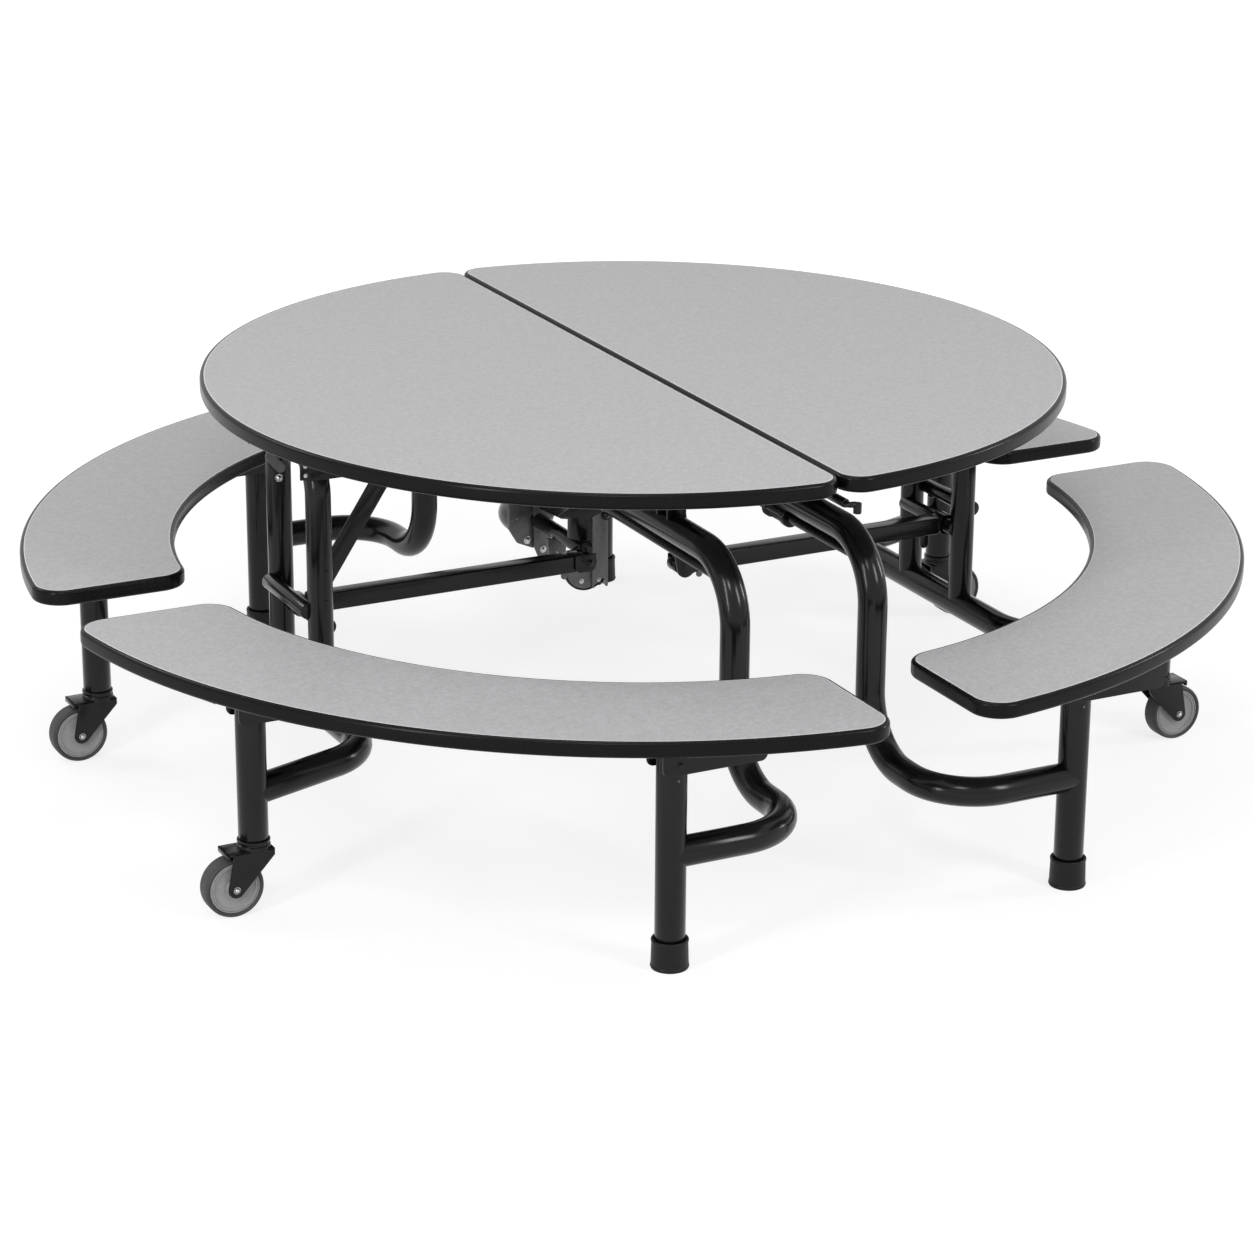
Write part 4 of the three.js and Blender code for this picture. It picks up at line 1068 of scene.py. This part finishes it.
def levers():
    main = [
        (-0.05, CHANNEL_TOP), (-0.05, 0.464), (-0.112, 0.402), (-0.112, 0.352), (-0.094, 0.322), (-0.062, 0.308),
        (-0.044, 0.322), (-0.040, 0.400), (0, 0.464), (0, CHANNEL_TOP),
    ]
    large = lever_plate("lever_large", LEVER_Y, 0.006, main)
    for x, z in ((-0.104, 0.366), (-0.095, 0.369)):
        bored(large, (x, LEVER_Y, z), 0.0024, 0.03)
    middle = [(-0.066, 0.405), (-0.064, 0.312), (-0.056, 0.292), (-0.038, 0.292), (-0.030, 0.306), (-0.030, 0.405)]
    small = [(-0.074, 0.353), (-0.071, 0.322), (-0.046, 0.300), (-0.036, 0.310), (-0.036, 0.353)]
    pieces = [large, lever_plate("lever_middle", 0.277, 0.005, middle), lever_plate("lever_small", 0.201, 0.005, small)]
    return unite("hanger_lever_piece", pieces)


dress(levers(), PLATED, "grey_steel", "hanger", "hanger_lever_plate")
cross = tube("hanger_tube_piece", [(TUBE_X, 0.0783, TUBE_Z), (TUBE_X, 0.2827, TUBE_Z)], 0, 0.028)
dress(cross, POWDER, "black_steel", "hanger", "hanger_cross_tube")
LEVER_BOLTS = [(-0.074, 0.283, 0.326, 0.006), (-0.047, 0.272, 0.307, 0.005), (-0.058, 0.196, 0.322, 0.004)]
LEVER_BOLTS += [(-0.060, DISC[1], 0.304, 0.0035), (CHANNEL_X, CHANNEL_Y + 0.006, CHANNEL_FOOT + 0.012, 0.003)]
hanger_bolts = [dome((x, y, z), NEAR_WAY, radius) for x, y, z, radius in LEVER_BOLTS]
dress(unite("hanger_bolts_piece", hanger_bolts), ZINC, "grey_steel", "hanger")
print("hanger: lever plates, cross tube and bolts")

# %% [markdown]
# ## Latch rod
# A cranked rod under half B's seam corner is pulled round to let the table fold. Its end carries a six-sided
# grip, which the lathe move makes too when it takes only six steps.

# %% Rod, grip and guide
LATCH_X = 0.012
LATCH_Z = 0.677
NEAR_Y = -0.744
CRANK = 0.016
tip = LATCH_X + CRANK
rod_piece = tube(
    "latch_rod",
    [(LATCH_X, -0.38, LATCH_Z), (LATCH_X, NEAR_Y, LATCH_Z), (tip, NEAR_Y, LATCH_Z), (tip, NEAR_Y, LATCH_Z - CRANK)],
    0.007, 0.010, 20, 8,
)
grip = rod("grip", (LATCH_X, NEAR_Y + 0.010, LATCH_Z), Y_AXIS, 0.0082, 0.076, 6, 0.0012)
end_grip = rod("end_grip", (tip, NEAR_Y, LATCH_Z - CRANK), Z_AXIS, 0.0074, 0.018, 6, 0.001)
dress(unite("latch_rod_piece", [rod_piece, grip, end_grip]), POWDER, "black_steel", "latch", "latch_rod")
guide_ys = [NEAR_Y + inset for inset in (0.104, 0.314)]
strip = block(
    "strip", (LATCH_X - 0.0095, guide_ys[0] - 0.012, PLATE_TOP - 0.004), (LATCH_X + 0.0095, guide_ys[1] + 0.012, PLATE_TOP)
)
eyes = [ring("guide", LATCH_X, LATCH_Z, 0.0095, 0.0055, y - 0.012, y + 0.012, PLATE_TOP - FIT) for y in guide_ys]
dress(unite("latch_guide_piece", [strip, *eyes]), POWDER, "black_steel", "top_b", "latch_guide")
print("latch: rod and guide")

# %% [markdown]
# ## Studio
# The photograph has a white studio: a white floor without a horizon, soft light from large panels, and pale
# shadows. The floor and world are white to the camera and in reflections, and the lamps stay at a plain level.

# %% Floor, world and lamps
bpy.ops.object.select_all(action="DESELECT")
bpy.ops.mesh.primitive_plane_add(size=30, location=(0, 0, 0))
floor = bpy.context.object
floor.name = "floor"
paper = bpy.data.materials.new("white_floor")
paper.use_nodes = True
tree = paper.node_tree
tree.nodes["Principled BSDF"].inputs["Roughness"].default_value = 0.9
tree.nodes["Principled BSDF"].inputs["Specular IOR Level"].default_value = 0.0
floor.data.materials.append(paper)


def seen_directly(tree):
    """A mask that is one for rays from the camera, and in mirrors and glass."""
    light = tree.nodes.new("ShaderNodeLightPath")
    both = math_node(tree, "MAXIMUM", light.outputs["Is Camera Ray"], light.outputs["Is Glossy Ray"])
    return math_node(tree, "MAXIMUM", both, light.outputs["Is Transmission Ray"])


PAPER, PAPER_SEEN = 0.8, 0.3
SHADOW_LIFT = 0.785
NEAR, FAR = 1.2, 3.4
direct = seen_directly(tree)
shown = math_node(tree, "SUBTRACT", PAPER, math_node(tree, "MULTIPLY", direct, PAPER - PAPER_SEEN))
tree.links.new(shown, tree.nodes["Principled BSDF"].inputs["Base Color"])
place = tree.nodes.new("ShaderNodeTexCoord")
away = tree.nodes.new("ShaderNodeVectorMath")
away.operation = "LENGTH"
tree.links.new(place.outputs["Object"], away.inputs[0])
fade = tree.nodes.new("ShaderNodeMapRange")
fade.interpolation_type = "SMOOTHSTEP"
for label, value in (("From Min", NEAR), ("From Max", FAR), ("To Min", SHADOW_LIFT), ("To Max", 1.0)):
    fade.inputs[label].default_value = value
tree.links.new(away.outputs["Value"], fade.inputs["Value"])
glow = tree.nodes.new("ShaderNodeEmission")
glow.inputs["Color"].default_value = (1, 1, 1, 1)
tree.links.new(math_node(tree, "MULTIPLY", direct, fade.outputs["Result"]), glow.inputs["Strength"])
both = tree.nodes.new("ShaderNodeAddShader")
tree.links.new(tree.nodes["Principled BSDF"].outputs["BSDF"], both.inputs[0])
tree.links.new(glow.outputs["Emission"], both.inputs[1])
tree.links.new(both.outputs[0], tree.nodes["Material Output"].inputs["Surface"])

world = bpy.data.worlds.new("studio")
bpy.context.scene.world = world
world.use_nodes = True
tree = world.node_tree
sky = tree.nodes["Background"]
sky.inputs["Color"].default_value = (1, 1, 1, 1)
AMBIENT = 0.41
lift = math_node(tree, "MULTIPLY", seen_directly(tree), 1 - AMBIENT)
tree.links.new(math_node(tree, "ADD", lift, AMBIENT), sky.inputs["Strength"])


def panel(name, at, aim, size, watts):
    lamp = bpy.data.lights.new(name, "AREA")
    lamp.shape = "RECTANGLE"
    lamp.size, lamp.size_y = size
    lamp.energy = watts
    holder = bpy.data.objects.new(name, lamp)
    bpy.context.scene.collection.objects.link(holder)
    holder.location = at
    holder.rotation_euler = (Vector(aim) - Vector(at)).to_track_quat("-Z", "Y").to_euler()
    return holder


panel("key_panel", (-2.0, -3.2, 3.6), (0, 0, 0.4), (0.8, 0.6), 26)
panel("front_panel", (1.5, -4.0, 2.7), (0, 0, 0.4), (0.8, 1.5), 52)
panel("side_strip", (4.0, -1.4, 1.7), (0, 0, 0.4), (0.4, 1.2), 30)
panel("low_strip", (-3.5, -1.9, 1.9), (0, 0, 0.4), (0.4, 2.4), 50)
panel("rear_panel", (-2.4, 2.4, 3.0), (0, 0, 0.4), (1.0, 1.0), 22)
panel("top_panel", (-0.4, 0.4, 6.0), (0, 0, 0.4), (2.0, 2.0), 59)
print("studio: floor, world and six panels")

# %% [markdown]
# ## Camera
# The camera stands where the outlines of the tabletop and benches agree with the photograph: a long lens, a
# little below twenty degrees above the table, and a hair of roll.

# %% Camera
AZIMUTH, ELEVATION, ROLL = (math.radians(a) for a in (26.881, 19.568, 0.379))
look = Vector((math.sin(AZIMUTH) * math.cos(ELEVATION), math.cos(AZIMUTH) * math.cos(ELEVATION), -math.sin(ELEVATION)))
right = Vector((math.cos(AZIMUTH), -math.sin(AZIMUTH), 0))
up = right.cross(look)
across = right * math.cos(ROLL) + up * math.sin(ROLL)
above = up * math.cos(ROLL) - right * math.sin(ROLL)
lens = bpy.data.cameras.new("camera")
lens.sensor_width = 36
lens.lens = 36 * 3729 / 1254
lens.clip_end = 60
camera = bpy.data.objects.new("camera", lens)
bpy.context.scene.collection.objects.link(camera)
stand = Matrix((across, above, -look)).transposed().to_4x4()
stand.translation = (-2.884, -5.672, 2.495)
camera.matrix_world = stand
bpy.context.scene.camera = camera
bpy.context.scene.view_settings.view_transform = "Standard"
print("camera: lens", round(lens.lens, 1), "mm")
